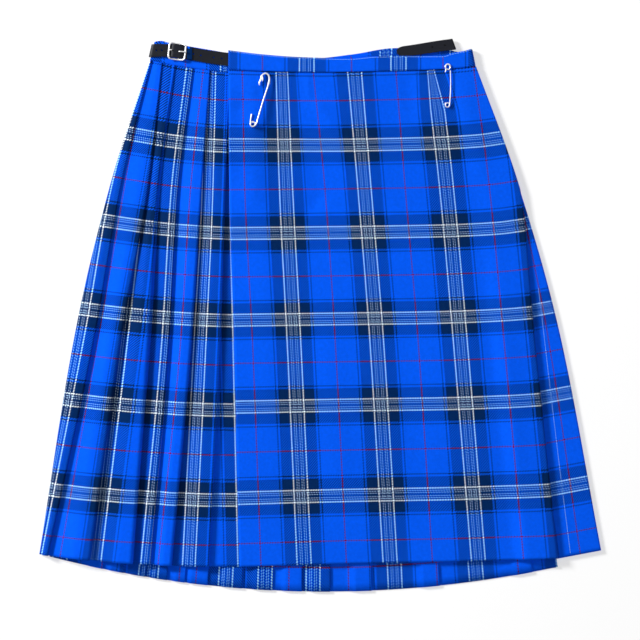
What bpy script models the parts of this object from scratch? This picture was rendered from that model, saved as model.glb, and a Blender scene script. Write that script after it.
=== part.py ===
"""Wrap-round kilt skirt, laid flat with its front up, its straps, buckle and two pins in place.

X runs across the skirt, Y up its length and Z up from the table. Lengths are millimetres and
turn into metres where a mesh is made. One length of cloth goes from the apron underneath, through
the knife pleats of the left front and the back, round the right side to the apron on top.
"""

import math

import bmesh
import bpy
import numpy as np

MM = 0.001

# Cloth, and the heights at which its layers lie
CLOTH = 1.0
GAP = 0.3
SEAM = 0.4
STEP = CLOTH + GAP
BACK_OUT = CLOTH / 2
BACK_IN = BACK_OUT + 2 * STEP
FRONT_IN = BACK_IN + STEP
FRONT_OUT = FRONT_IN + 2 * STEP
SIDE_RADIUS = (FRONT_IN - BACK_OUT) / 2

# Knife pleats: the share of its visible width that a pleat turns under, with its limit, and the ease at its folds
DEPTH_SHARE = 0.55
DEPTH_LESS = 1.0
DEPTH_MOST = 18.0
FOLD_EASE = 0.9
BACK_SLOPE = 8.0
ROWS = 11
FLAT_COLUMNS = 4
APRON_COLUMNS = 14
UNDER_COLUMNS = 8

# The four sections, as shares of the way from waist seam to hem, and how far the back has flared there
SECTIONS = (0.0, 0.25, 0.55, 1.0)
FLARE = (0.0, 0.355, 0.665, 1.0)

# Long edges: x at the waist, hip, thigh and hem
LEFT_SIDE = (-204.8, -252.5, -294.8, -337.9)
RIGHT_SIDE = (186.8, 238.0, 285.5, 337.1)
APRON_EDGE = (-110.1, -109.0, -103.5, -97.5)
KICK_FOLD = (186.8, 239.2, 256.8, 284.9)

# Fold edges of the left front pleats: x at the waist, hip, thigh and hem
LEFT_FOLDS = (
    (-197.3, -237.4, -269.6, -326.5),
    (-190.3, -208.9, -238.3, -275.7),
    (-174.7, -195.0, -204.9, -224.8),
    (-152.9, -171.5, -181.4, -203.7),
    (-132.8, -143.1, -154.6, -178.3),
    (-108.2, -114.4, -120.1, -133.6),
)

# Fold edges of the back pleats: x at the waist and hem
BACK_FOLDS = (
    (-169.4, -274.0),
    (-154.7, -250.0),
    (-138.7, -224.0),
    (-122.8, -198.0),
    (-106.8, -172.0),
    (-95.7, -153.9),
    (-70.2, -112.3),
    (-47.8, -75.9),
    (-25.9, -40.3),
    (-5.1, -6.3),
    (25.6, 43.6),
    (75.7, 125.3),
    (144.3, 236.9),
)
BACK_RIGHT = (172.0, 282.0)
SIDE_RETURN = 12.0

# Ends of the waist seam and hem of each panel: y at the left end, y at the right end, sag between them
LEFT_WAIST = (305.8, 291.0, 1.6)
LEFT_HEM = (-287.4, -302.4, 3.8)
BACK_WAIST = (305.4, 298.6, 15.0)
BACK_HEM = (-287.4, -303.0, 37.0)
APRON_LEFT = (293.8, -302.4)
UNDER_LESS = 2.4
UNDERLAP_SLOPE = 0.12

# Rise of the top apron's rows above its left end: share across, then waist, hip, thigh and hem
APRON_RISE = (
    (0.00, 0.0, 0.0, 0.0, 0.0),
    (0.35, -2.5, 1.0, 1.8, 4.1),
    (0.70, -0.6, 2.9, 3.6, 6.8),
    (0.90, 1.7, 6.0, 6.4, 9.2),
    (1.00, 4.4, 10.8, 9.0, 10.4),
)

# Top apron: the height of its left edge and of its middle at waist and hem, and what lies beneath
APRON_EDGE_HEIGHT = (8.9, 6.3)
APRON_WAIST_HEIGHT = 7.2
APRON_FALL = 70.0
APRON_FALL_LENGTH = 0.14
UNDERLAP = 18.0
KICK_RETURN = 28.0
KICK_CLEAR = 4.0
KICK_CLIMB_START = 56.0
KICK_CLIMB = 22.0
SIDE_START = 30.0
SIDE_JUMP = (0.0, 1.0, 2.4, -0.8)
SIDE_SLOPE = 0.19

# Waistbands: wall, then the top edge of each as x and y
BAND = 2.4
UNDER_BAND = 1.6
BAND_ROUND = 0.5
BAND_SHARP = 50.0
LEFT_BAND_TOP = ((-199.3, 328.8), (-191.5, 330.0), (-180.6, 327.4), (-161.1, 324.0), (-140.1, 320.4), (-110.7, 315.2))
APRON_BAND_TOP = (
    (-110.1, 318.0),
    (-72.3, 313.4),
    (-24.3, 309.8),
    (34.5, 308.2),
    (66.9, 310.8),
    (120.0, 311.4),
    (147.3, 311.4),
    (158.1, 314.4),
    (173.7, 317.5),
    (182.2, 320.2),
)
BACK_BAND_TOP = (
    (-194.0, 328.4),
    (-110.7, 313.8),
    (-12.0, 309.0),
    (39.3, 314.3),
    (87.9, 321.9),
    (140.0, 322.6),
    (164.0, 317.0),
    (177.0, 314.0),
)
LEFT_BAND_LEAN = 5.5
RIGHT_BAND_LEAN = 4.2
LEAN_REACH = 30.0
BAND_RETURN = 11.0
UNDER_BAND_LESS = 3.0
BAND_FLAT = 8.0
BACK_BAND_HEIGHT = 1.2
LEFT_BAND_HEIGHT = 4.8
UNDER_BAND_HEIGHT = 5.4
APRON_BAND_HEIGHT = (9.4, 7.7)

# Left strap: station x, y, height, half its width and the turn of its length in degrees
LEATHER = 1.6
LEFT_STRAP = (
    (-203.6, 317.4, 1.4, 7.6, -13.0),
    (-203.6, 317.4, 4.6, 7.6, -13.0),
    (-202.8, 317.3, 6.6, 7.6, -12.0),
    (-200.6, 317.3, 7.5, 7.6, -9.0),
    (-192.5, 317.5, 7.1, 7.6, -3.0),
    (-188.0, 317.4, 8.4, 7.6, -3.5),
    (-179.5, 316.8, 8.4, 7.6, -5.5),
    (-174.0, 316.2, 10.1, 7.6, -6.0),
    (-169.0, 315.7, 10.1, 7.6, -6.5),
    (-163.5, 314.9, 8.4, 7.6, -7.0),
    (-155.0, 313.6, 8.4, 7.6, -7.5),
    (-151.0, 312.9, 7.1, 7.6, -8.0),
    (-137.0, 310.4, 7.1, 7.6, -8.0),
    (-110.7, 306.8, 7.1, 7.7, -7.5),
    (-96.0, 304.9, 7.1, 7.7, -7.0),
)
STRAP_HOLES = (-196.6, -189.9, -152.0, -143.3, -128.0, -118.0)
HOLE_RADIUS = 1.1
HOLE_SIDES = 12
PUNCH_LENGTH = 30.0
PUNCH_HEIGHT = 8.0

# Buckle: the place of its centre bar, its frame, bars and prong
BUCKLE_X = -171.5
BUCKLE_Y = 316.0
BUCKLE_TURN = -6.0
FRAME_LENGTH = 21.6
FRAME_WIDTH = 20.2
FRAME_CORNER = 4.0
FRAME_RADIUS = 1.0
FRAME_LOW = 8.6
FRAME_HIGH = 10.5
BAR_RADIUS = 0.7
BAR_HEIGHT = 8.3
PRONG_RADIUS = 0.65
PRONG_PATH = ((0.0, 9.4), (0.0, 11.4), (0.5, 12.2), (1.6, 12.6), (6.0, 12.7), (11.2, 12.45))
TAB_THICKNESS = 1.0
TAB_HEIGHT = 6.8
TAB_HALF_LENGTH = 15.5
TAB_HALF_WIDTH = 6.9

# Right strap: station x, y, height, half its width and the turn of its length in degrees
RIGHT_STRAP = (
    (135.0, 321.6, 3.5, 6.3, 8.8),
    (155.0, 324.6, 3.5, 6.5, 12.0),
    (159.6, 325.1, 4.1, 6.8, 20.0),
    (160.4, 325.2, 4.8, 6.8, 20.0),
    (159.6, 325.1, 5.5, 6.8, 20.0),
    (155.0, 324.7, 5.4, 6.4, 12.0),
    (101.0, 316.6, 5.4, 6.3, 8.8),
    (97.0, 316.2, 5.4, 5.6, 8.8),
    (93.8, 316.0, 5.4, 4.2, 8.8),
    (91.8, 316.0, 5.4, 1.8, 8.8),
)
RIGHT_STRAP_HOLES = (134.5, 149.7)

# Pins: the hooked cap, the straight bar down to the coil, and the needle up from it, as x and y
PIN_LIFT = 0.3
WELD = 0.01
COIL_REACH = 8.0
COIL_TURN = 520.0
COIL_STEPS = 26
KILT_CAP = ((-71.5, 276.9), (-72.9, 282.6), (-71.2, 288.0), (-66.5, 290.3), (-61.9, 288.0), (-60.5, 283.2), (-61.4, 278.9))
KILT_BAR = ((-61.9, 277.1), (-69.6, 252.6), (-77.9, 230.0))
KILT_NEEDLE = ((-83.2, 236.5), (-82.4, 241.4))
KILT_WIRE = 1.1
KILT_CAP_RADIUS = 1.45
KILT_COIL = (-80.8, 229.3, 2.9)
SMALL_CAP = ((150.2, 291.0), (149.6, 295.8), (152.5, 299.6), (155.6, 296.0), (155.5, 291.0))
SMALL_BAR = ((155.5, 289.6), (155.7, 276.0), (155.2, 255.0))
SMALL_NEEDLE = ((149.9, 254.0), (150.2, 257.0))
SMALL_WIRE = 0.6
SMALL_CAP_RADIUS = 0.9
SMALL_COIL = (152.4, 251.6, 2.8)

# Where the middle of the finished skirt's outline lies before it is moved to the origin
MIDDLE_X = -0.4
MIDDLE_Y = -0.3


def clear_scene():
    """Removes whatever the scene holds at the start."""
    for thing in list(bpy.data.objects):
        bpy.data.objects.remove(thing, do_unlink=True)


def new_collection(name):
    """A collection of that name in the scene."""
    collection = bpy.data.collections.new(name)
    bpy.context.scene.collection.children.link(collection)
    return collection


def finish(name, colour, roughness, metallic=0.0):
    """A plain Principled material."""
    material = bpy.data.materials.new(name)
    material.use_nodes = True
    shader = material.node_tree.nodes["Principled BSDF"]
    shader.inputs["Base Color"].default_value = (*colour, 1.0)
    shader.inputs["Roughness"].default_value = roughness
    shader.inputs["Metallic"].default_value = metallic
    return material


def through(stations, values, at):
    """A smooth curve through the values that never swings past them."""
    widths = np.diff(stations)
    rises = np.diff(values) / widths
    slopes = np.empty(len(values))
    slopes[0] = rises[0]
    slopes[-1] = rises[-1]
    for i in range(1, len(values) - 1):
        before, after = rises[i - 1], rises[i]
        slopes[i] = 2 * before * after / (before + after) if before * after > 0 else 0.0
    i = int(np.clip(np.searchsorted(stations, at) - 1, 0, len(widths) - 1))
    t = (at - stations[i]) / widths[i]
    if t < 0 or t > 1:
        end = 0 if t < 0 else -1
        return values[end] + slopes[end] * (at - stations[end])
    run = values[i] * (1 + 2 * t) * (1 - t) ** 2 + slopes[i] * widths[i] * t * (1 - t) ** 2
    return run + values[i + 1] * t**2 * (3 - 2 * t) + slopes[i + 1] * widths[i] * t**2 * (t - 1)


def edge(line, down):
    """x of a long edge, a share of the way down."""
    return through(SECTIONS, line, down)


def blend(start, end, share):
    """The value a share of the way from start to end."""
    return start + (end - start) * share


def ease(share):
    """A soft step from 0 to 1."""
    share = min(max(share, 0.0), 1.0)
    return share * share * (3 - 2 * share)


def back_x(pair, down):
    """x of a back pleat's line, which fans out from waist to hem."""
    return blend(pair[0], pair[1], through(SECTIONS, FLARE, down))


def kick_x(down):
    """x of the kick pleat's fold, which follows the skirt's right side down to the hip."""
    return min(edge(KICK_FOLD, down), edge(RIGHT_SIDE, down))


def sagging(ends, share):
    """A line between two ends that sags in the middle."""
    return blend(ends[0], ends[1], share) - 4 * ends[2] * share * (1 - share)


def left_line(x, down):
    """y of the left front's cloth at x: rows run parallel to its waist seam and hem."""
    left, right = edge(LEFT_SIDE, down), edge(APRON_EDGE, down)
    share = (x - left) / (right - left)
    beyond = max(x - right, 0.0) * UNDERLAP_SLOPE * down
    share = min(share, 1.0)
    return blend(sagging(LEFT_WAIST, share), sagging(LEFT_HEM, share), down) + beyond


def back_line(x, down):
    """y of the back's cloth at x."""
    left = edge(LEFT_SIDE, down)
    right = back_x(BACK_RIGHT, down)
    share = (x - left) / (right - left)
    return blend(sagging(BACK_WAIST, share), sagging(BACK_HEM, share), down)


def back_left_edge(down):
    """x of the back's left edge."""
    return edge(LEFT_SIDE, down) + SIDE_RETURN + GAP


def back_right_edge(down):
    """x of the back's right edge."""
    return back_x(BACK_RIGHT, down)


def back_edge_at(y, edge_x):
    """x of one of the back's edges at a height up the skirt."""
    top = back_line(edge_x(0.0), 0.0)
    bottom = back_line(edge_x(1.0), 1.0)
    return edge_x((top - y) / (top - bottom))


def apron_line(x, down):
    """y of the top apron's cloth at x."""
    left, right = edge(APRON_EDGE, down), kick_x(down)
    share = (x - left) / (right - left)
    shares = [row[0] for row in APRON_RISE]
    rises = [through(SECTIONS, row[1:], down) for row in APRON_RISE]
    return blend(*APRON_LEFT, down) + through(shares, rises, min(share, 1.0))


def under_line(x, down):
    """y of the apron underneath, which stays inside the hem of the top one."""
    return apron_line(x, down) - blend(UNDER_LESS, -UNDER_LESS, down)


def side_line(x, down):
    """y of the right side's cloth, which climbs from the kick pleat to the side."""
    fold = kick_x(down)
    jump = through(SECTIONS, SIDE_JUMP, down)
    return apron_line(fold, down) + jump + max(x - fold, 0.0) * SIDE_SLOPE


def pleat_depth(width):
    """How far a pleat of that visible width turns under."""
    return min(DEPTH_SHARE * width - DEPTH_LESS, DEPTH_MOST)


def knife_pleats(previous, folds, low, step, slope=None):
    """Points of knife pleats: each rises two steps to its fold, turns back under itself and sets off again."""
    points = []
    for fold in folds:
        depth = pleat_depth(fold - previous)
        inner = fold - depth
        rise_end = inner - FOLD_EASE if slope is None else previous + FOLD_EASE + slope
        flat = np.linspace(min(rise_end, inner - FOLD_EASE), fold - CLOTH / 2, FLAT_COLUMNS)
        points += [(x, low + 2 * step) for x in flat]
        points.append((fold - CLOTH / 2, low + step))
        points.append((inner, low + step))
        points.append((inner, low))
        points.append((fold + FOLD_EASE, low))
        previous = fold
    return points


def side_turn(side, towards):
    """Points round a side of the skirt, from the table up to the front. towards is 1 where the cloth lies to the right."""
    centre = side + towards * (SIDE_RADIUS + CLOTH / 2)
    middle = (BACK_OUT + FRONT_IN) / 2
    points = []
    for degrees in (-90, -45, 0, 45, 90):
        angle = math.radians(degrees)
        x = centre - towards * SIDE_RADIUS * math.cos(angle)
        points.append((x, middle + SIDE_RADIUS * math.sin(angle)))
    return points


def left_section(down):
    """Left front: from its seam with the back, round the side, through its pleats and under the top apron."""
    side = edge(LEFT_SIDE, down)
    folds = [edge(fold, down) for fold in LEFT_FOLDS]
    turn = side_turn(side, 1)
    seam = back_edge_at(left_line(side + SIDE_RETURN, down), back_left_edge) - SEAM
    points = [(seam, BACK_OUT), *turn]
    points += knife_pleats(turn[-1][0], folds, FRONT_IN, STEP)
    points.append((edge(APRON_EDGE, down) + UNDERLAP, FRONT_IN))
    return points


def back_section(down):
    """Back: flat on the table from pleat to pleat, each fold facing left. Worked out right to left."""
    right = back_right_edge(down)
    folds = [-back_x(fold, down) for fold in reversed(BACK_FOLDS)]
    points = [(-right, BACK_OUT), *knife_pleats(-right, folds, BACK_IN, -STEP, BACK_SLOPE)]
    points.append((points[-1][0] + BACK_SLOPE, BACK_OUT))
    points.append((-back_left_edge(down), BACK_OUT))
    return [(-x, z) for x, z in points]


def apron_height(x, down):
    """Height of the top apron's cloth: it rides over the pleats at its left edge and over the kick pleat at its right."""
    near_waist = ease(1 - down / APRON_FALL_LENGTH)
    middle = blend(FRONT_IN + STEP, APRON_WAIST_HEIGHT, near_waist)
    left = blend(*APRON_EDGE_HEIGHT, down)
    fall = ease(1 - (x - edge(APRON_EDGE, down)) / APRON_FALL)
    right = max(FRONT_OUT, middle)
    climb = ease((x - kick_x(down) + KICK_CLIMB_START) / KICK_CLIMB)
    return max(blend(middle, left, fall), blend(middle, right, climb))


def apron_section(down):
    """Top apron: from its free edge to the kick pleat's fold, and a turned-under strip behind the fold."""
    left, fold = edge(APRON_EDGE, down), kick_x(down)
    flat_end = fold - KICK_RETURN - KICK_CLEAR
    points = [(x, apron_height(x, down)) for x in np.linspace(left, flat_end, APRON_COLUMNS)]
    top = apron_height(fold, down)
    low = FRONT_IN + STEP
    points += [(fold - CLOTH / 2, top), (fold - CLOTH / 2, low), (fold - KICK_RETURN, low)]
    return points


def under_section(down):
    """Apron underneath: flat between the left pleats and the right side."""
    left = edge(APRON_EDGE, down) + UNDERLAP + GAP
    right = kick_x(down) - SIDE_START - GAP
    return [(x, FRONT_IN) for x in np.linspace(left, right, UNDER_COLUMNS)]


def side_section(down):
    """Right side: from behind the kick pleat, round the side and under to the seam with the back."""
    start = kick_x(down) - SIDE_START
    turn = side_turn(edge(RIGHT_SIDE, down), -1)
    points = [(start, FRONT_IN), (blend(start, turn[-1][0], 0.5), FRONT_IN), *reversed(turn)]
    seam = back_edge_at(side_line(back_right_edge(down), down), back_right_edge) + SEAM
    points.append((seam, BACK_OUT))
    return points


def loft(name, grid, material, collection):
    """An open surface through a grid of points, as an object."""
    mesh = bpy.data.meshes.new(name)
    shape = bmesh.new()
    rows = [[shape.verts.new(((x - MIDDLE_X) * MM, (y - MIDDLE_Y) * MM, z * MM)) for x, y, z in row] for row in grid]
    for upper, lower in zip(rows, rows[1:]):
        for i in range(len(upper) - 1):
            shape.faces.new((upper[i], lower[i], lower[i + 1], upper[i + 1]))
    shape.to_mesh(mesh)
    shape.free()
    thing = bpy.data.objects.new(name, mesh)
    thing.data.materials.append(material)
    collection.objects.link(thing)
    return thing


def give_wall(thing, thickness):
    """Puts an even wall on an open surface, half of it on each side."""
    wall = thing.modifiers.new("Wall", "SOLIDIFY")
    wall.thickness = thickness * MM
    wall.offset = 0.0
    wall.use_even_offset = True
    return thing


def round_edges(thing, width):
    """Rounds the sharp edges of a wall."""
    bevel = thing.modifiers.new("Rounded", "BEVEL")
    bevel.width = width * MM
    bevel.segments = 2
    bevel.limit_method = "ANGLE"
    bevel.angle_limit = math.radians(BAND_SHARP)
    return thing


def cloth_panel(name, section, line, material, collection):
    """A panel lofted through its sections from waist seam to hem."""
    grid = []
    for down in np.linspace(0.0, 1.0, ROWS):
        grid.append([(x, line(x, down), z) for x, z in section(down)])
    return give_wall(loft(name, grid, material, collection), CLOTH)


def turned_end(side, towards, height, seam):
    """Points of a band that turns down a side to the table and ends there, from its front to its end."""
    radius = (height - BACK_BAND_HEIGHT) / 2
    centre = side + towards * (radius + BAND / 2)
    middle = (height + BACK_BAND_HEIGHT) / 2
    points = []
    for degrees in (90, 45, 0, -45, -90):
        angle = math.radians(degrees)
        x = centre - towards * radius * math.cos(angle)
        points.append((x, middle + radius * math.sin(angle), seam))
    points.append((side + towards * BAND_RETURN, BACK_BAND_HEIGHT, seam))
    return points


def level_band(left, right, height, seam, count):
    """Points of a band at one height."""
    return [(x, height, seam) for x in np.linspace(left, right, count)]


def apron_band_height(x):
    """Height of the top band: over the strap at its left end, then lower."""
    fall = ease(1 - (x - APRON_EDGE[0]) / APRON_FALL)
    return blend(APRON_BAND_HEIGHT[1], APRON_BAND_HEIGHT[0], fall)


def lean(x, down):
    """How far a band's points move inwards above the seam, near each side."""
    left = LEFT_BAND_LEAN * ease(1 - abs(x - LEFT_SIDE[0]) / LEAN_REACH)
    right = RIGHT_BAND_LEAN * ease(1 - abs(x - KICK_FOLD[0]) / LEAN_REACH)
    return (left - right) * (1 - down)


def band_rows(points, top):
    """Rows of a waistband from its top edge down to its seam."""
    xs, ys = zip(*top)
    grid = []
    for down in (0.0, 0.5, 1.0):
        row = []
        for x, z, seam in points:
            at = x + lean(x, down)
            row.append((at, blend(through(xs, ys, at), seam(x, 0.0) + GAP, down), z))
        grid.append(row)
    return grid


def make_bands(cloth, collection):
    """The four lengths of waistband."""
    left_side, right_side = LEFT_SIDE[0], KICK_FOLD[0]
    left_edge = APRON_EDGE[0]
    left_end = turned_end(left_side, 1, LEFT_BAND_HEIGHT, left_line)
    left_flat = level_band(left_side + BAND_FLAT, left_edge + UNDERLAP, LEFT_BAND_HEIGHT, left_line, 8)
    top_end = turned_end(right_side, -1, APRON_BAND_HEIGHT[1], side_line)
    top_flat = [(x, apron_band_height(x), apron_line) for x in np.linspace(left_edge, right_side - BAND_FLAT, 16)]
    under = level_band(left_edge + UNDERLAP + GAP, right_side - SIDE_START, UNDER_BAND_HEIGHT, under_line, 8)
    inside = BAND_RETURN + GAP
    back = level_band(left_side + inside, right_side - inside, BACK_BAND_HEIGHT, back_line, 12)
    under_top = [(x, y - UNDER_BAND_LESS) for x, y in APRON_BAND_TOP]
    bands = (
        ("waistband_back", back, BACK_BAND_TOP, BAND),
        ("waistband_left", [*reversed(left_end), *left_flat], LEFT_BAND_TOP, BAND),
        ("waistband_under_apron", under, under_top, UNDER_BAND),
        ("waistband_apron", [*top_flat, *top_end], APRON_BAND_TOP, BAND),
    )
    for name, points, top, wall in bands:
        surface = loft(name, band_rows(points, top), cloth, collection)
        round_edges(give_wall(surface, wall), BAND_ROUND)


def ribbon(name, stations, material, collection, thickness):
    """A flat strap through stations of x, y, height, half width and turn."""
    left, right = [], []
    for x, y, z, half, turn in stations:
        angle = math.radians(turn)
        across = (-math.sin(angle) * half, math.cos(angle) * half)
        left.append((x + across[0], y + across[1], z))
        right.append((x - across[0], y - across[1], z))
    return give_wall(loft(name, [left, right], material, collection), thickness)


def punch(thing, x, y, cutters):
    """Cuts a round hole straight down through a strap."""
    place = ((x - MIDDLE_X) * MM, (y - MIDDLE_Y) * MM, PUNCH_HEIGHT * MM)
    bpy.ops.mesh.primitive_cylinder_add(
        vertices=HOLE_SIDES, radius=HOLE_RADIUS * MM, depth=PUNCH_LENGTH * MM, location=place
    )
    cutter = bpy.context.object
    cutter.name = f"{thing.name}_hole"
    for other in list(cutter.users_collection):
        other.objects.unlink(cutter)
    cutters.objects.link(cutter)
    cutter.hide_render = True
    cutter.display_type = "WIRE"
    hole = thing.modifiers.new("Hole", "BOOLEAN")
    hole.operation = "DIFFERENCE"
    hole.object = cutter


def strap_y(stations, x):
    """y of a strap's middle at x, where its stations run left to right."""
    xs = [row[0] for row in stations]
    ys = [row[1] for row in stations]
    return float(np.interp(x, xs, ys))


def wire(name, path, radius, material, collection, closed=False):
    """A round wire along a path of points, as a mesh with its ends closed."""
    data = bpy.data.curves.new(name, "CURVE")
    data.dimensions = "3D"
    data.bevel_depth = radius * MM
    data.bevel_resolution = 2
    data.use_fill_caps = not closed
    spline = data.splines.new("POLY")
    spline.points.add(len(path) - 1)
    for point, (x, y, z) in zip(spline.points, path):
        point.co = ((x - MIDDLE_X) * MM, (y - MIDDLE_Y) * MM, z * MM, 1.0)
    spline.use_cyclic_u = closed
    curve = bpy.data.objects.new(name + "_path", data)
    collection.objects.link(curve)
    graph = bpy.context.evaluated_depsgraph_get()
    mesh = bpy.data.meshes.new_from_object(curve.evaluated_get(graph))
    bpy.data.objects.remove(curve, do_unlink=True)
    shape = bmesh.new()
    shape.from_mesh(mesh)
    bmesh.ops.remove_doubles(shape, verts=shape.verts, dist=WELD * MM)
    bmesh.ops.recalc_face_normals(shape, faces=shape.faces)
    shape.to_mesh(mesh)
    shape.free()
    mesh.name = name
    mesh.materials.clear()
    mesh.materials.append(material)
    mesh.shade_smooth()
    thing = bpy.data.objects.new(name, mesh)
    collection.objects.link(thing)
    return thing


def on_buckle(along, across):
    """The place of a point given along and across the turned buckle."""
    angle = math.radians(BUCKLE_TURN)
    x = BUCKLE_X + along * math.cos(angle) - across * math.sin(angle)
    y = BUCKLE_Y + along * math.sin(angle) + across * math.cos(angle)
    return x, y


def frame_path():
    """Rounded rectangle of the buckle's frame. Its long bars dip in the middle, where the centre bar meets them."""
    half_length = FRAME_LENGTH / 2 - FRAME_RADIUS
    half_width = FRAME_WIDTH / 2 - FRAME_RADIUS
    path = []
    for quarter, (side_x, side_y) in enumerate(((1, 1), (-1, 1), (-1, -1), (1, -1))):
        centre_x = side_x * (half_length - FRAME_CORNER)
        centre_y = side_y * (half_width - FRAME_CORNER)
        for step in range(4):
            angle = math.radians(90 * quarter + 30 * step)
            path.append((centre_x + FRAME_CORNER * math.cos(angle), centre_y + FRAME_CORNER * math.sin(angle)))
        if side_y > 0 and side_x > 0:
            path.append((0.0, half_width))
        if side_y < 0 and side_x < 0:
            path.append((0.0, -half_width))
    points = []
    for along, across in path:
        height = blend(FRAME_LOW, FRAME_HIGH, min(abs(along) / (half_length - FRAME_CORNER / 3), 1.0) ** 2)
        points.append((*on_buckle(along, across), height))
    return points


def make_buckle(metal, leather, collection, cutters):
    """Frame with its centre bar, prong, and the leather tab that holds the centre bar to the band."""
    frame = wire("buckle_frame", frame_path(), FRAME_RADIUS, metal, collection, closed=True)
    half = FRAME_WIDTH / 2 - FRAME_RADIUS
    bar_path = [(*on_buckle(0.0, across), BAR_HEIGHT) for across in (-half, half)]
    bar = wire("centre_bar", bar_path, BAR_RADIUS, metal, cutters)
    bar.hide_render = True
    bar.display_type = "WIRE"
    join = frame.modifiers.new("Centre bar", "BOOLEAN")
    join.operation = "UNION"
    join.object = bar
    prong_path = [(*on_buckle(along, 0.0), z) for along, z in PRONG_PATH]
    wire("buckle_prong", prong_path, PRONG_RADIUS, metal, collection)
    stations = []
    for along in (-TAB_HALF_LENGTH, TAB_HALF_LENGTH):
        x, y = on_buckle(along, 0.0)
        stations.append((x, y, TAB_HEIGHT, TAB_HALF_WIDTH, BUCKLE_TURN))
    ribbon("buckle_tab", stations, leather, collection, TAB_THICKNESS)


def make_straps(leather, collection, cutters):
    """The fastened strap at the left, and the loose one folded back at the right."""
    left = ribbon("left_strap", LEFT_STRAP, leather, collection, LEATHER)
    for x in STRAP_HOLES:
        punch(left, x, strap_y(LEFT_STRAP, x), cutters)
    punch(left, BUCKLE_X, BUCKLE_Y, cutters)
    right = ribbon("right_strap", RIGHT_STRAP, leather, collection, LEATHER)
    upper = list(reversed(RIGHT_STRAP[5:]))
    for x in RIGHT_STRAP_HOLES:
        punch(right, x, strap_y(upper, x), cutters)


def surface_height(x, y):
    """Height of the top of the apron, or of its band above the seam, at a place on the front."""
    seam = apron_line(x, 0.0)
    if y > seam:
        return apron_band_height(x) + BAND / 2
    hem = apron_line(x, 1.0)
    return apron_height(x, (seam - y) / (seam - hem)) + CLOTH / 2


def highest_under(points):
    """The highest cloth beneath a run of points."""
    return max(surface_height(x, y) for x, y in points)


def make_pin(name, cap, bar, needle, coil, wire_radius, cap_radius, metal, collection):
    """A safety pin lying on the apron: a hooked cap, then a bar down to a coil and a needle that goes into the cloth."""
    cap_height = highest_under(cap) + PIN_LIFT + cap_radius
    cap_path = [(x, y, cap_height) for x, y in cap]
    wire(f"{name}_cap", cap_path, cap_radius, metal, collection)
    centre_x, centre_y, coil_radius = coil
    pitch = 2 * wire_radius + GAP
    low = surface_height(centre_x, centre_y + COIL_REACH) + PIN_LIFT + wire_radius
    high = low + pitch * COIL_TURN / 360
    path = [(*bar[0], cap_height), (*bar[1], blend(cap_height, high, 0.5)), (*bar[2], high)]
    for step in range(1, COIL_STEPS + 1):
        share = step / COIL_STEPS
        angle = math.radians(-COIL_TURN * share)
        x = centre_x + coil_radius * math.cos(angle)
        y = centre_y + coil_radius * math.sin(angle)
        path.append((x, y, blend(high, low, share)))
    path += [(x, y, low) for x, y in needle]
    wire(f"{name}_wire", path, wire_radius, metal, collection)


def build():
    """Makes every piece of the skirt."""
    clear_scene()
    collection = new_collection("kilt_skirt")
    cutters = new_collection("cutters")
    cloth = finish("tartan_cloth", (0.0, 0.12, 0.85), 0.85)
    leather = finish("black_leather", (0.012, 0.016, 0.024), 0.5)
    metal = finish("bright_metal", (0.8, 0.8, 0.8), 0.2, 1.0)
    cloth_panel("back_pleats", back_section, back_line, cloth, collection)
    cloth_panel("left_pleats", left_section, left_line, cloth, collection)
    cloth_panel("under_apron", under_section, under_line, cloth, collection)
    cloth_panel("right_side", side_section, side_line, cloth, collection)
    cloth_panel("over_apron", apron_section, apron_line, cloth, collection)
    make_bands(cloth, collection)
    make_straps(leather, collection, cutters)
    make_buckle(metal, leather, collection, cutters)
    make_pin(
        "kilt_pin", KILT_CAP, KILT_BAR, KILT_NEEDLE, KILT_COIL, KILT_WIRE, KILT_CAP_RADIUS, metal, collection
    )
    make_pin(
        "small_pin", SMALL_CAP, SMALL_BAR, SMALL_NEEDLE, SMALL_COIL, SMALL_WIRE, SMALL_CAP_RADIUS, metal, collection
    )


build()
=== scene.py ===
"""Looks of the kilt skirt: tartan twill, folded waistband, leather straps, buckle and pins.

The skirt lies on a pale table with its front up. Tables are in millimetres, and turn into metres
where a mesh is made. X runs across the skirt, Y up its length and Z up from the table.
"""

import math

import bmesh
import bpy
import numpy as np
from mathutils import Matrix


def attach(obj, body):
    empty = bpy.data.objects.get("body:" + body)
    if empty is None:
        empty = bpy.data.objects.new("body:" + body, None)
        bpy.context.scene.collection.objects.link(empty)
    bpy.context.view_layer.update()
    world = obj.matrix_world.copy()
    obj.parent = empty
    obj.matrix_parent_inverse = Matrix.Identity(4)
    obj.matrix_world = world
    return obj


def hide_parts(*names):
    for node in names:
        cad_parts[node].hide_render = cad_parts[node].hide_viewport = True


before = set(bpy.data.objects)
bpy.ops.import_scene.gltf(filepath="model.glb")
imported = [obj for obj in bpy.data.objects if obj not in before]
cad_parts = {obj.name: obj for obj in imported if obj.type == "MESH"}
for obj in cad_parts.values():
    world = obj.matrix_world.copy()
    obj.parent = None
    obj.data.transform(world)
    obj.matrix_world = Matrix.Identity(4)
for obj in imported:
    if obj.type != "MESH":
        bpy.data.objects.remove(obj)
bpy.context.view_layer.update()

# Camera, lights and table
# The skirt is seen from straight above through a long lens. A soft lamp at the upper left gives each
# fold its shadow on the right, and the pale surroundings fill the rest.
MM = 0.001
VIEW_WIDTH = 768.0
VIEW_CENTRE = (0.1, -5.7)
CAMERA_HEIGHT = 2500.0
FRONT_HEIGHT = 7.0
SENSOR = 36.0
FARTHEST = 30.0
SURROUNDINGS = 0.25
TABLE_WIDTH = 12.0
TABLE_DROP = 0.0002
TABLE_GREY = (0.55, 0.55, 0.55, 1.0)
TABLE_GLOW = 0.5
WHITE = (1.0, 1.0, 1.0, 1.0)


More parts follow.
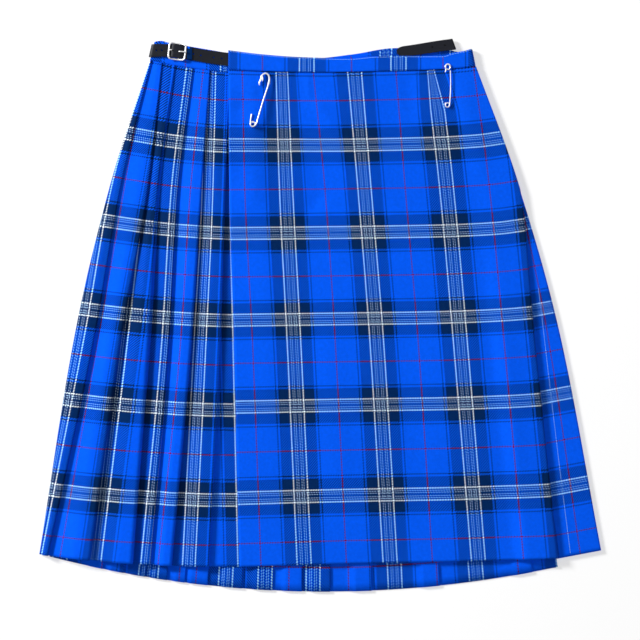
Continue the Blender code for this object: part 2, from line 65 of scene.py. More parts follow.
def placed(name, data):
    """A new object in the scene."""
    thing = bpy.data.objects.new(name, data)
    bpy.context.scene.collection.objects.link(thing)
    return thing


camera_data = bpy.data.cameras.new("camera")
camera_data.sensor_width = SENSOR
camera_data.lens = SENSOR * CAMERA_HEIGHT / VIEW_WIDTH
camera_data.clip_end = FARTHEST
camera = placed("camera", camera_data)
camera.location = (VIEW_CENTRE[0] * MM, VIEW_CENTRE[1] * MM, (CAMERA_HEIGHT + FRONT_HEIGHT) * MM)
bpy.context.scene.camera = camera
bpy.context.scene.view_settings.view_transform = "Standard"


def put(node, values):
    """Sets a node's inputs by name."""
    for name, value in values.items():
        node.inputs[name].default_value = value


def material_named(name, roughness, metallic=0.0):
    """A Principled material and its shader."""
    material = bpy.data.materials.new(name)
    material.use_nodes = True
    shader = material.node_tree.nodes["Principled BSDF"]
    put(shader, {"Roughness": roughness, "Metallic": metallic})
    return material, shader


def lamp(name, place, size, power):
    """A square soft lamp at a place in metres, turned to the skirt."""
    data = bpy.data.lights.new(name, "AREA")
    data.size = size
    data.energy = power
    thing = placed(name, data)
    thing.location = place
    thing.rotation_euler = thing.location.to_track_quat("Z", "Y").to_euler()


lamp("key_lamp", place=(-3.3, 1.8, 2.1), size=0.9, power=235.0)
lamp("fill_lamp", place=(0.6, -0.3, 3.2), size=2.0, power=18.0)

world = bpy.data.worlds.new("surroundings")
world.use_nodes = True
put(world.node_tree.nodes["Background"], {"Color": WHITE, "Strength": SURROUNDINGS})
bpy.context.scene.world = world

bpy.ops.mesh.primitive_plane_add(size=TABLE_WIDTH, location=(0.0, 0.0, -TABLE_DROP))
table = bpy.context.object
table.name = "table"
paint, paint_shader = material_named("pale_table", 0.8)
put(paint_shader, {"Base Color": TABLE_GREY, "Specular IOR Level": 0.0})
put(paint_shader, {"Emission Color": WHITE, "Emission Strength": TABLE_GLOW})
table.data.materials.append(paint)


# Back of the skirt
# Tartan wool twill, laid face down in thirteen knife pleats. Seen from the front only its hem shows,
# from inside. Each pleat's edge is pressed, and its fold is soft where it lies on the next one.
YARNS = {
    "blue": (0.0, 0.106, 0.95),
    "navy": (0.0, 0.019, 0.1),
    "white": (0.9, 0.95, 1.0),
    "pale": (0.4, 0.55, 0.8),
    "red": (0.24, 0.003, 0.03),
}
# A sett's colours from the middle of its white lines to its red one, and the thread at which each starts
SETT_COLOURS = ("navy", "pale", "navy", "pale", "navy", "white", "navy", "blue", "navy", "blue", "red")
WARP_SETT = (0, 3, 4, 6, 7, 12, 15, 37, 40, 43, 83)
WEFT_SETT = (0, 3, 4, 6, 7, 10, 13, 33, 36, 39, 83)
HALF_SETT = 84
REPEAT = 2 * HALF_SETT
YARNS_A_HALF = 67
PITCH = 0.6
# Painted bounce light: how much red a yarn on top loses where the yarn under it is blue, for the blue light
# that comes off and through that yarn
BOUNCE_FROM_BELOW = 0.5
RAMP_STEP = 0.17
TWILL_REPEAT = 4.0
TWILL_UP = 1.5
YARN_HEIGHT = 0.00015
# Painted shade between the yarns: how much darker a yarn gets towards its sides, and the share of its
# colour left at its darkest
YARN_SHADE_DEPTH, YARN_SHADE_LOW = 0.2, 0.86
# Unevenness of the yarn, of the cloth and of its nap: lumps a metre, depth and lowest share
SLUB_SCALE, SLUB_DEPTH, SLUB_LOW = 260.0, 0.28, 0.8
PATCH_SCALE, PATCH_DEPTH, PATCH_LOW = 9.0, 0.12, 0.96
FUZZ_SCALE, FUZZ_DEPTH = 1500.0, 0.5
# Sockets of a colour Mix node: its two colours and the mixed one
MIX_A, MIX_B, MIXED = 6, 7, 2
SHEEN_TINT = (0.45, 0.65, 1.0, 1.0)
DEEPEST = -1.3


def node_in(material, kind, **settings):
    """A new node with its settings."""
    node = material.node_tree.nodes.new(kind)
    for name, value in settings.items():
        setattr(node, name, value)
    return node


def join(material, source, target):
    """Links one socket to another."""
    material.node_tree.links.new(source, target)


def maths(material, operation, *values):
    """The output of a Math node on sockets or numbers."""
    node = node_in(material, "ShaderNodeMath", operation=operation)
    for socket, value in zip(node.inputs, values):
        if isinstance(value, (int, float)):
            socket.default_value = value
        else:
            join(material, value, socket)
    return node.outputs["Value"]


def noise(material, scale, detail=2.0):
    """Noise on the object's own coordinates, in lumps of about 1 / scale metres."""
    coordinates = node_in(material, "ShaderNodeTexCoord")
    texture = node_in(material, "ShaderNodeTexNoise")
    join(material, coordinates.outputs["Object"], texture.inputs["Vector"])
    put(texture, {"Scale": scale, "Detail": detail})
    return texture.outputs["Fac"]


def yarn_colour(material, yarn, sett):
    """A sett's colour of a yarn, counted from the middle of its white lines."""
    count = maths(material, "MULTIPLY", maths(material, "ADD", yarn, 0.5), HALF_SETT / YARNS_A_HALF)
    place = maths(material, "PINGPONG", count, float(HALF_SETT))
    ramp = node_in(material, "ShaderNodeValToRGB")
    ramp.color_ramp.interpolation = "CONSTANT"
    stops = ramp.color_ramp.elements
    while len(stops) > 1:
        stops.remove(stops[-1])
    stops[0].position = 0.0
    stops[0].color = (*YARNS[SETT_COLOURS[0]], 1.0)
    for first, colour in zip(sett[1:], SETT_COLOURS[1:]):
        stop = stops.new(first / HALF_SETT)
        stop.color = (*YARNS[colour], 1.0)
    shifted = maths(material, "ADD", place, RAMP_STEP)
    join(material, maths(material, "DIVIDE", shifted, float(HALF_SETT)), ramp.inputs["Fac"])
    return ramp.outputs["Color"]


def twill(name, depth):
    """Two-up two-down twill of the sett on the threads map, with painted yarn shade and bounce light. depth
    is the share of its bump.
    """
    material, shader = material_named(name, 0.85)
    threads = node_in(material, "ShaderNodeUVMap", uv_map="threads")
    parts = node_in(material, "ShaderNodeSeparateXYZ")
    join(material, threads.outputs["UV"], parts.inputs["Vector"])
    warp_at = maths(material, "MULTIPLY", parts.outputs["X"], YARNS_A_HALF / HALF_SETT)
    weft_at = maths(material, "MULTIPLY", parts.outputs["Y"], YARNS_A_HALF / HALF_SETT)
    warp, weft = maths(material, "FLOOR", warp_at), maths(material, "FLOOR", weft_at)
    step = maths(material, "FLOORED_MODULO", maths(material, "ADD", warp, weft), TWILL_REPEAT)
    warp_shows = maths(material, "LESS_THAN", step, TWILL_UP)

    colours = [yarn_colour(material, weft, WEFT_SETT), yarn_colour(material, warp, WARP_SETT)]
    split = []
    for lower, upper in (colours, colours[::-1]):
        mixed = node_in(material, "ShaderNodeMix", data_type="RGBA")
        join(material, warp_shows, mixed.inputs["Factor"])
        join(material, lower, mixed.inputs[MIX_A])
        join(material, upper, mixed.inputs[MIX_B])
        channels = node_in(material, "ShaderNodeSeparateColor")
        join(material, mixed.outputs[MIXED], channels.inputs["Color"])
        split.append(channels)
    top, below = split
    # Painted bounce light: the yarn on top loses some red where the yarn beneath it is blue
    blueness = maths(material, "SUBTRACT", below.outputs["Blue"], below.outputs["Red"])
    bounce_tint = maths(material, "MULTIPLY_ADD", maths(material, "MAXIMUM", blueness, 0.0), -BOUNCE_FROM_BELOW, 1.0)
    seen = node_in(material, "ShaderNodeCombineColor")
    join(material, maths(material, "MULTIPLY", top.outputs["Red"], bounce_tint), seen.inputs["Red"])
    for channel in ("Green", "Blue"):
        join(material, top.outputs[channel], seen.inputs[channel])

    rounds = []
    for at in (warp_at, weft_at):
        across = maths(material, "FRACT", at)
        rounds.append(maths(material, "SINE", maths(material, "MULTIPLY", across, math.pi)))
    under = maths(material, "MULTIPLY", rounds[1], maths(material, "SUBTRACT", 1.0, warp_shows))
    height = maths(material, "MULTIPLY_ADD", rounds[0], warp_shows, under)

    slub = maths(material, "MULTIPLY_ADD", noise(material, SLUB_SCALE, 3.0), SLUB_DEPTH, SLUB_LOW)
    patch = maths(material, "MULTIPLY_ADD", noise(material, PATCH_SCALE), PATCH_DEPTH, PATCH_LOW)
    # Painted shade between the yarns: each yarn darker towards its sides, then times the yarn's and the
    # cloth's own uneven tone
    shade = maths(material, "MULTIPLY_ADD", height, YARN_SHADE_DEPTH, YARN_SHADE_LOW)
    shade = maths(material, "MULTIPLY", maths(material, "MULTIPLY", shade, slub), patch)
    tinted = node_in(material, "ShaderNodeVectorMath", operation="SCALE")
    join(material, seen.outputs["Color"], tinted.inputs["Vector"])
    join(material, shade, tinted.inputs["Scale"])
    join(material, tinted.outputs["Vector"], shader.inputs["Base Color"])

    fuzz = maths(material, "MULTIPLY_ADD", noise(material, FUZZ_SCALE), FUZZ_DEPTH, height)
    bump = node_in(material, "ShaderNodeBump")
    put(bump, {"Strength": depth, "Distance": YARN_HEIGHT})
    join(material, fuzz, bump.inputs["Height"])
    join(material, bump.outputs["Normal"], shader.inputs["Normal"])
    put(shader, {"Specular IOR Level": 0.05, "Sheen Weight": 0.02, "Sheen Roughness": 0.45})
    put(shader, {"Sheen Tint": SHEEN_TINT})
    return material


tartan = twill("tartan_twill", 0.35)

# Shares of the way down at which every long edge is given: waist, hip, thigh and hem
SECTIONS = (0.0, 0.25, 0.55, 1.0)
# Shares of the way down of the first red row, then of each group of white rows
WEFT_ROWS = (0.059, 0.1512, 0.329, 0.5034, 0.6782, 0.8616)
WEFT_COUNTS = (84, 168, 336, 504, 672, 840)
MIDDLE = (-0.4, -0.3, 0.0)
CLOTH = 1.0
STEP = 1.3
BACK_OUT = 0.5
BACK_IN = 3.1
FRONT_IN = 4.4
FRONT_OUT = 7.0
FOLD_EASE = 0.9
DEPTH_SHARE, DEPTH_LESS, DEPTH_MOST = 0.55, 1.0, 18.0
WALL = 0.7
# Points of a section: round a pleat's fold, on the cloth it turns under, round its inner fold and on the
# cloth's way back, then round the skirt's side. VALLEY_POINTS are the last ones before the next pleat.
FOLD_POINTS, UNDER_POINTS, TURN_POINTS, LAST_POINTS = 8, 4, 6, 5
SIDE_POINTS, VALLEY_POINTS = 14, 4
CREASE_START, CREASE_END = 4, 3


def through(stations, values, at):
    """A smooth curve through the values that never swings past them, and runs straight beyond its ends."""
    stations, values, at = (np.asarray(part, float) for part in (stations, values, at))
    widths = np.diff(stations)
    rises = np.diff(values) / widths
    slopes = np.concatenate((rises[:1], rises))
    for i in range(1, len(values) - 1):
        before, after = rises[i - 1], rises[i]
        slopes[i] = 2 * before * after / (before + after) if before * after > 0 else 0.0
    i = np.clip(np.searchsorted(stations, at) - 1, 0, len(widths) - 1)
    t = np.clip((at - stations[i]) / widths[i], 0.0, 1.0)
    start = values[i] * (1 + 2 * t) * (1 - t) ** 2 + slopes[i] * widths[i] * t * (1 - t) ** 2
    end = values[i + 1] * t**2 * (3 - 2 * t) + slopes[i + 1] * widths[i] * t**2 * (t - 1)
    before = np.minimum(at - stations[0], 0.0) * slopes[0]
    after = np.maximum(at - stations[-1], 0.0) * slopes[-1]
    return start + end + before + after


def run_along(steps):
    """Distance along a line from its start, given the length of each step."""
    return np.concatenate(([0.0], np.cumsum(steps)))


def edge(line, down):
    """x of a long edge, a share of the way from waist to hem."""
    return float(through(SECTIONS, line, down))


def rows_at(table, down):
    """The first values of a table's rows, and the edge that the rest of each row gives."""
    return [row[0] for row in table], [edge(row[1:], down) for row in table]


def blend(start, end, share):
    """The value a share of the way from start to end."""
    return start + (end - start) * share


def ease(share):
    """A soft step from 0 to 1."""
    share = np.clip(share, 0.0, 1.0)
    return share * share * (3 - 2 * share)


def sagging(ends, share):
    """A line between two ends that sags in the middle."""
    return blend(ends[0], ends[1], share) - 4 * ends[2] * share * (1 - share)


def weft(down, rows=WEFT_ROWS):
    """The weft thread a share of the way down."""
    return float(through(rows, WEFT_COUNTS, down))


def creased(x, y, creases):
    """Lift of soft ridges and troughs: ends, half width and height of each, in millimetres."""
    lift = np.zeros_like(x)
    for x0, y0, x1, y1, width, height in creases:
        run = np.hypot(x1 - x0, y1 - y0)
        along = ((x - x0) * (x1 - x0) + (y - y0) * (y1 - y0)) / run**2
        across = ((x - x0) * (y1 - y0) - (y - y0) * (x1 - x0)) / run
        fading = ease(along * CREASE_START) * ease((1 - along) * CREASE_END)
        lift += height * np.exp(-((across / width) ** 2)) * fading
    return np.maximum(lift, DEEPEST)


def cloth(name, rows, material, wall=WALL):
    """A sheet through rows of x, y, z, warp thread and weft thread, with an even wall."""
    grid = np.array([np.broadcast_arrays(*row) for row in rows], float).transpose(0, 2, 1)
    down, across = grid.shape[:2]
    places = (grid[..., :3].reshape(-1, 3) - MIDDLE) * MM
    first = (np.arange(down - 1)[:, None] * across + np.arange(across - 1)).ravel()
    faces = np.stack([first, first + across, first + across + 1, first + 1], axis=1)
    mesh = bpy.data.meshes.new(name)
    mesh.from_pydata(places.tolist(), [], faces.tolist())
    threads = mesh.uv_layers.new(name="threads")
    threads.data.foreach_set("uv", grid[..., 3:].reshape(-1, 2)[faces.ravel()].ravel())
    mesh.polygons.foreach_set("use_smooth", np.ones(len(faces), bool))
    mesh.materials.append(material)
    thing = placed(name, mesh)
    solid = thing.modifiers.new("Wall", "SOLIDIFY")
    solid.thickness = wall * MM
    solid.offset = 0.0
    return thing


def panel(name, row, count):
    """A sheet of the twill with rows from waist to hem."""
    return cloth(name, [row(down) for down in np.linspace(0.0, 1.0, count)], tartan)


def arc(centre_x, centre_z, radius, start, end, count):
    """x and z round an arc, angles in degrees from +X towards +Z, without its first point."""
    angles = np.radians(np.linspace(start, end, count + 1)[1:])
    return centre_x + radius * np.cos(angles), centre_z + radius * np.sin(angles)


def pleat(previous, fold, low, middle, top, rise, count):
    """x and z of one knife pleat: its face, its fold and what it turns under, and the way to the next."""
    depth = min(DEPTH_SHARE * (fold - previous) - DEPTH_LESS, DEPTH_MOST)
    inner = fold - depth
    radius = abs(top - middle) / 2
    turn = abs(middle - low) / 2
    way = 1.0 if top > low else -1.0
    share = np.linspace(0.0, 1.0, count)
    share = (share + (1 - np.cos(np.pi * share)) / 2) / 2
    face_x = blend(previous + FOLD_EASE, fold - radius, share)
    face_z = blend(low, top, rise(share, face_x - previous))
    fold_x, fold_z = arc(fold - radius, (top + middle) / 2, radius, 90 * way, -90 * way, FOLD_POINTS)
    under_x = np.linspace(fold - radius, inner + turn, UNDER_POINTS + 1)[1:]
    inner_x, inner_z = arc(inner + turn, (middle + low) / 2, turn, 90 * way, 270 * way, TURN_POINTS)
    last_x = np.linspace(inner + turn, fold, LAST_POINTS + 1)[1:]
    hidden_x = np.concatenate((fold_x, under_x, inner_x))
    hidden_z = np.concatenate((fold_z, np.full(UNDER_POINTS, middle), inner_z))
    return (face_x, face_z), (hidden_x, hidden_z), (last_x, np.full(LAST_POINTS, low))


def fill_threads(x, z, threads):
    """Threads of hidden cloth: round a fold and at a valley they keep their pitch, and are even between."""
    run = run_along(np.hypot(np.diff(x), np.diff(z)))
    threads = threads.copy()
    known = np.flatnonzero(~np.isnan(threads))
    for before, after in zip(known, known[1:]):
        if after - before > FOLD_POINTS + VALLEY_POINTS:
            fold = slice(before + 1, before + 1 + FOLD_POINTS)
            valley = slice(after - VALLEY_POINTS, after)
            threads[fold] = threads[before] + (run[fold] - run[before]) / PITCH
            threads[valley] = threads[after] + (run[valley] - run[after]) / PITCH
    known = ~np.isnan(threads)
    filled = np.interp(run, run[known], threads[known])
    first, last = run[known][0], run[known][-1]
    filled = np.where(run < first, threads[known][0] - (first - run) / PITCH, filled)
    return np.where(run > last, threads[known][-1] + (run - last) / PITCH, filled)


# How far a line of the back has fanned out at waist, hip, thigh and hem
FLARE = (0.0, 0.355, 0.665, 1.0)
LEFT_SIDE = (-204.8, -252.5, -294.8, -337.9)
# x of each fold at waist and hem
BACK_FOLDS = (
    (-169.4, -274.0),
    (-154.7, -250.0),
    (-138.7, -224.0),
    (-122.8, -198.0),
    (-106.8, -172.0),
    (-95.7, -153.9),
    (-70.2, -112.3),
    (-47.8, -75.9),
    (-25.9, -40.3),
    (-5.1, -6.3),
    (25.6, 43.6),
    (75.7, 125.3),
    (144.3, 236.9),
)
BACK_RIGHT = (172.0, 285.4)
# y of a panel's upper and lower line at its left and right, and how far each sags
BACK_WAIST = (305.4, 298.6, 15.0)
BACK_HEM = (-287.4, -303.0, 37.0)
SIDE_RETURN = 12.0
GAP = 0.3
BACK_SLOPE = 8.0
BACK_ROWS = 60
BACK_FACE_COLUMNS = 9
FAN_SHARE, FAN_SHIFT = 0.614, -1.2
# One row for each stretch between pleats, right to left: x at the hem, and the sett's thread there
BACK_THREADS = (
    (269.7, 38.5),
    (188.1, 0.0),
    (90.3, 0.0),
    (34.3, 84.0),
    (-8.7, 0.0),
    (-37.9, 84.0),
    (-66.9, 0.0),
    (-114.3, 0.0),
    (-149.8, 84.0),
    (-169.9, 84.0),
    (-203.7, 0.0),
    (-228.3, 30.0),
    (-249.9, 50.0),
    (-263.0, 84.0),
)


def back_x(pair, down):
    """x of a line that fans out from waist to hem."""
    return float(blend(pair[0], pair[1], through(SECTIONS, FLARE, down)))


def back_line(x, down):
    """y of the back's cloth at x."""
    left, right = edge(LEFT_SIDE, down), back_x(BACK_RIGHT, down)
    share = (x - left) / (right - left)
    return blend(sagging(BACK_WAIST, share), sagging(BACK_HEM, share), down)


def back_rise(share, from_fold):
    """The back's cloth slopes down to the table over a short way, then lies flat."""
    return ease((from_fold - FOLD_EASE) / BACK_SLOPE)


def back_row(down):
    """One row of the back, worked out from right to left in mirrored x."""
    right = -back_x(BACK_RIGHT, down)
    previous = right - FOLD_EASE
    folds = [-back_x(pair, down) for pair in reversed(BACK_FOLDS)]
    anchors = [-back_x((FAN_SHARE * x + FAN_SHIFT, x), down) for x, thread in BACK_THREADS]
    xs, zs, threads = [], [], []
    for i, fold in enumerate(folds):
        face, hidden, last = pleat(
            previous, fold, BACK_IN, BACK_IN - STEP, BACK_OUT, back_rise, BACK_FACE_COLUMNS
        )
        xs += [face[0], hidden[0], last[0]]
        zs += [face[1], hidden[1], last[1]]
        offset = i * REPEAT
        threads += [
            offset + BACK_THREADS[i][1] + (face[0] - anchors[i]) / PITCH,
            np.full(len(hidden[0]), np.nan),
            offset + REPEAT + BACK_THREADS[i + 1][1] + (last[0] - anchors[i + 1]) / PITCH,
        ]
        previous = fold
    end = -(edge(LEFT_SIDE, down) + SIDE_RETURN + GAP)
    flat = np.linspace(previous + FOLD_EASE, end, BACK_FACE_COLUMNS)
    xs.append(flat)
    zs.append(blend(BACK_IN, BACK_OUT, back_rise(None, flat - previous)))
    threads.append(len(folds) * REPEAT + BACK_THREADS[-1][1] + (flat - anchors[-1]) / PITCH)
    x, z, thread = (np.concatenate(part) for part in (xs, zs, threads))
    thread = fill_threads(x, z, thread)
    x, z, thread = -x[::-1], z[::-1], thread[::-1]
    return x, back_line(x, down), z, thread, weft(down)


back_cloth = panel("back_cloth", back_row, BACK_ROWS)
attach(back_cloth, "root")
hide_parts("back_pleats")


# Left front
# The same twill, which comes round the left side from the back and lies in six knife pleats, each
# pressed at its fold and puffed a little, before it goes on under the top apron.
# x of each fold, and then of the apron's edge, at waist, hip, thigh and hem
LEFT_FOLDS = (
    (-202.5, -239.4, -270.2, -326.5),
    (-190.3, -207.2, -238.3, -275.7),
    (-174.7, -195.0, -204.9, -224.8),
    (-152.9, -171.5, -181.4, -203.7),
    (-132.8, -143.1, -154.6, -178.3),
    (-108.2, -114.4, -120.1, -133.6),
)
APRON_EDGE = (-110.1, -109.0, -103.5, -97.5)
LEFT_WAIST = (305.8, 291.0, 1.6)
LEFT_HEM = (-287.4, -302.4, 3.8)
UNDERLAP = 18.0
UNDERLAP_SLOPE = 0.12
SIDE_RADIUS = (FRONT_IN - BACK_OUT) / 2
SEAM = 0.4
LEFT_ROWS = 150
LEFT_WEFT_ROWS = (0.057, 0.1495, 0.3255, 0.502, 0.683, 0.865)
# Weft threads by which the rows run up at the far left, at waist, hip, thigh and hem
LEFT_SKEW = (2.0, 2.6, -0.5, -4.0)
LEFT_SKEW_END = 3
LEFT_FACE_COLUMNS = 15
PLEAT_CLIMB = 0.7
PLEAT_STEEP = 0.4
PLEAT_FLAT = 0.06
RETURN_POINTS, UNDERLAP_POINTS = 4, 12
# How far each layer lies above the one under it, and how much further each pleat's fold stands up,
# at waist, hip, thigh and hem
LEFT_LAYER = (0.9, 1.05, 1.3, 1.3)
PUFFS = (
    (0.1, 0.7, 2.6, 3.2),
    (0.2, 1.8, 5.4, 6.6),
    (0.2, 2.6, 6.8, 7.6),
    (0.2, 1.8, 2.4, 2.8),
    (0.3, 2.8, 5.2, 5.6),
    (0.2, 2.4, 3.4, 3.4),
)
# For each stretch that shows: the sett's thread, and its x at waist, hip, thigh and hem
LEFT_THREADS = (
    ((14.5, -204.2, -249.5, -281.8, -334.0),),
    ((84.0, -209.2, -234.9, -265.6, -312.2), (129.5, -185.3, -212.5, -245.1, -286.6)),
    ((182.5, -193.5, -210.5, -230.3, -262.5), (206.5, -176.2, -193.3, -213.9, -248.0)),
    ((321.5, -160.8, -179.2, -190.3, -215.5),),
    ((420.0, -140.3, -155.9, -167.2, -194.4),),
    ((489.5, -139.5, -142.4, -152.0, -165.7), (518.5, -125.1, -128.6, -136.6, -149.6)),
    ((657.5, -110.7, -109.0, -105.2, -99.3),),
)


def left_line(x, down):
    """y of the left front's cloth at x."""
    left, right = edge(LEFT_SIDE, down), edge(APRON_EDGE, down)
    share = np.minimum((x - left) / (right - left), 1.0)
    beyond = np.maximum(x - right, 0.0) * UNDERLAP_SLOPE * down
    return blend(sagging(LEFT_WAIST, share), sagging(LEFT_HEM, share), down) + beyond


def back_edge_at(y, edge_x):
    """x of one of the back's edges at a height up the skirt."""
    top, bottom = back_line(edge_x(0.0), 0.0), back_line(edge_x(1.0), 1.0)
    return edge_x((top - y) / (top - bottom))


def back_left_edge(down):
    """x of the back's left edge."""
    return edge(LEFT_SIDE, down) + SIDE_RETURN + GAP


def anchored(x, anchors, down):
    """Warp threads of a stretch that shows, from its one or two known threads."""
    counts, places = rows_at(anchors, down)
    if len(anchors) == 1:
        return counts[0] + (x - places[0]) / PITCH
    return counts[0] + (x - places[0]) * (counts[1] - counts[0]) / (places[1] - places[0])


def left_rise(share, from_fold):
    """A pleat's face climbs from its valley to the cloth folded under it, then is nearly flat."""
    climb = np.clip(share / PLEAT_CLIMB, 0.0, 1.0)
    steep = PLEAT_STEEP * climb + (1 - PLEAT_STEEP) * ease(climb)
    return (1 - PLEAT_FLAT) * steep + PLEAT_FLAT * share


def left_row(down):
    """One row of the left front, from its seam with the back to under the top apron."""
    side = edge(LEFT_SIDE, down)
    folds = [edge(fold, down) for fold in LEFT_FOLDS]
    seam = back_edge_at(left_line(side + SIDE_RETURN, down), back_left_edge) - SEAM
    centre = side + SIDE_RADIUS + CLOTH / 2
    turn_x, turn_z = arc(centre, BACK_OUT + SIDE_RADIUS, SIDE_RADIUS, 270, 90, SIDE_POINTS)
    return_x = np.linspace(seam, centre, RETURN_POINTS)
    xs, zs = [return_x, turn_x], [np.full(RETURN_POINTS, BACK_OUT), turn_z]
    threads = [np.full(RETURN_POINTS + SIDE_POINTS, np.nan)]
    previous = centre - FOLD_EASE
    middle = FRONT_IN + edge(LEFT_LAYER, down)
    for i, fold in enumerate(folds):
        top = 2 * middle - FRONT_IN + edge(PUFFS[i], down)
        face, hidden, last = pleat(previous, fold, FRONT_IN, middle, top, left_rise, LEFT_FACE_COLUMNS)
        xs += [face[0], hidden[0], last[0]]
        zs += [face[1], hidden[1], last[1]]
        threads += [anchored(face[0], LEFT_THREADS[i], down), np.full(len(hidden[0]) + LAST_POINTS, np.nan)]
        previous = fold
    flat = np.linspace(previous + FOLD_EASE, edge(APRON_EDGE, down) + UNDERLAP, UNDERLAP_POINTS)
    xs.append(flat)
    zs.append(np.full(UNDERLAP_POINTS, FRONT_IN))
    threads.append(anchored(flat, LEFT_THREADS[-1], down))
    x, z, thread = (np.concatenate(part) for part in (xs, zs, threads))
    thread = fill_threads(x, z, thread)
    skew = edge(LEFT_SKEW, down) * ease((folds[LEFT_SKEW_END] - x) / (folds[LEFT_SKEW_END] - side))
    return x, left_line(x, down), z, thread, weft(down, LEFT_WEFT_ROWS) + skew


left_cloth = panel("left_cloth", left_row, LEFT_ROWS)
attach(left_cloth, "root")
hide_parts("left_pleats")


# Apron underneath
# The cloth's inner end, a plain panel of the same twill that lies flat between the pleats and the
# right side. All of it is covered by the top apron.
RIGHT_SIDE = (186.8, 238.4, 287.0, 337.9)
KICK_FOLD = (186.8, 239.2, 256.8, 284.9)
APRON_LEFT = (293.8, -302.4)
# Rise of the top apron's rows above its left end: share across, then waist, hip, thigh and hem
APRON_RISE = (
    (0.00, 0.0, 0.0, 0.0, 0.0),
    (0.35, -2.5, 1.0, 1.8, 4.1),
    (0.70, -0.6, 2.9, 3.6, 6.8),
    (0.90, 1.7, 6.0, 6.4, 9.2),
    (1.00, 4.4, 10.8, 9.0, 10.4),
)
UNDER_LESS = 2.4
SIDE_START = 30.0
UNDER_ROWS, UNDER_COLUMNS = 60, 60


def kick_x(down):
    """x of the kick pleat's fold, which follows the skirt's right side down to the hip."""
    return min(edge(KICK_FOLD, down), edge(RIGHT_SIDE, down))


def apron_line(x, down):
    """y of the top apron's cloth at x."""
    left, right = edge(APRON_EDGE, down), kick_x(down)
    share = np.minimum((x - left) / (right - left), 1.0)
    return blend(*APRON_LEFT, down) + through(*rows_at(APRON_RISE, down), share)


def under_line(x, down):
    """y of the apron underneath, which stays inside the hem of the top one."""
    return apron_line(x, down) - blend(UNDER_LESS, -UNDER_LESS, down)


def under_row(down):
    """One row of the apron underneath."""
    left, right = edge(APRON_EDGE, down) + UNDERLAP + GAP, kick_x(down) - SIDE_START - GAP
    x = np.linspace(left, right, UNDER_COLUMNS)
    return x, under_line(x, down), np.full(UNDER_COLUMNS, FRONT_IN), x / PITCH, weft(down)


under_cloth = panel("under_cloth", under_row, UNDER_ROWS)
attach(under_cloth, "root")
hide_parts("under_apron")


# Right side
# The same twill again. It starts behind the kick pleat, goes round the right side and joins the back,
# and a line of small light stitches holds it from the hip to the hem.
SIDE_JUMP = (0.0, 1.0, 2.4, -0.8)
SIDE_SLOPE = 0.19
# Threads of the right side: the sett's thread, and its x at waist, hip, thigh and hem
SIDE_THREADS = ((84.0, 203.8, 236.6, 272.4, 312.5),)
SIDE_ROWS, SIDE_COLUMNS, SIDE_BACK_POINTS = 120, 30, 9
# The line of stitches as x and y
SIDE_STITCHES = (
    (262.2, 31.0),
    (272.1, -53.0),
    (277.7, -102.0),
    (286.4, -174.0),
    (291.3, -214.0),
    (300.3, -285.0),
)
STITCH_LENGTH = 2.1
STITCH_PITCH = 3.2
STITCH_RADIUS = 0.27


def side_line(x, down):
    """y of the right side's cloth, which climbs from the kick pleat to the side."""
    fold = kick_x(down)
    return apron_line(fold, down) + edge(SIDE_JUMP, down) + np.maximum(x - fold, 0.0) * SIDE_SLOPE


def back_right_edge(down):
    """x of the back's right edge."""
    return back_x(BACK_RIGHT, down)


def side_row(down):
    """One row of the right side, from behind the kick pleat to its seam with the back."""
    start = kick_x(down) - SIDE_START
    centre = edge(RIGHT_SIDE, down) - SIDE_RADIUS - CLOTH / 2
    front = np.linspace(start, centre, SIDE_COLUMNS)
    turn_x, turn_z = arc(centre, BACK_OUT + SIDE_RADIUS, SIDE_RADIUS, 90, -90, SIDE_POINTS)
    seam = back_edge_at(side_line(back_right_edge(down), down), back_right_edge) + SEAM
    back = np.linspace(centre, seam, SIDE_BACK_POINTS + 1)[1:]
    x = np.concatenate((front, turn_x, back))
    z = np.concatenate((np.full(SIDE_COLUMNS, FRONT_IN), turn_z, np.full(SIDE_BACK_POINTS, BACK_OUT)))
    thread = anchored(front, SIDE_THREADS, down)
    hidden = np.full(SIDE_POINTS + SIDE_BACK_POINTS, np.nan)
    thread = fill_threads(x, z, np.concatenate((thread, hidden)))
    return x, side_line(x, down), z, thread, weft(down)


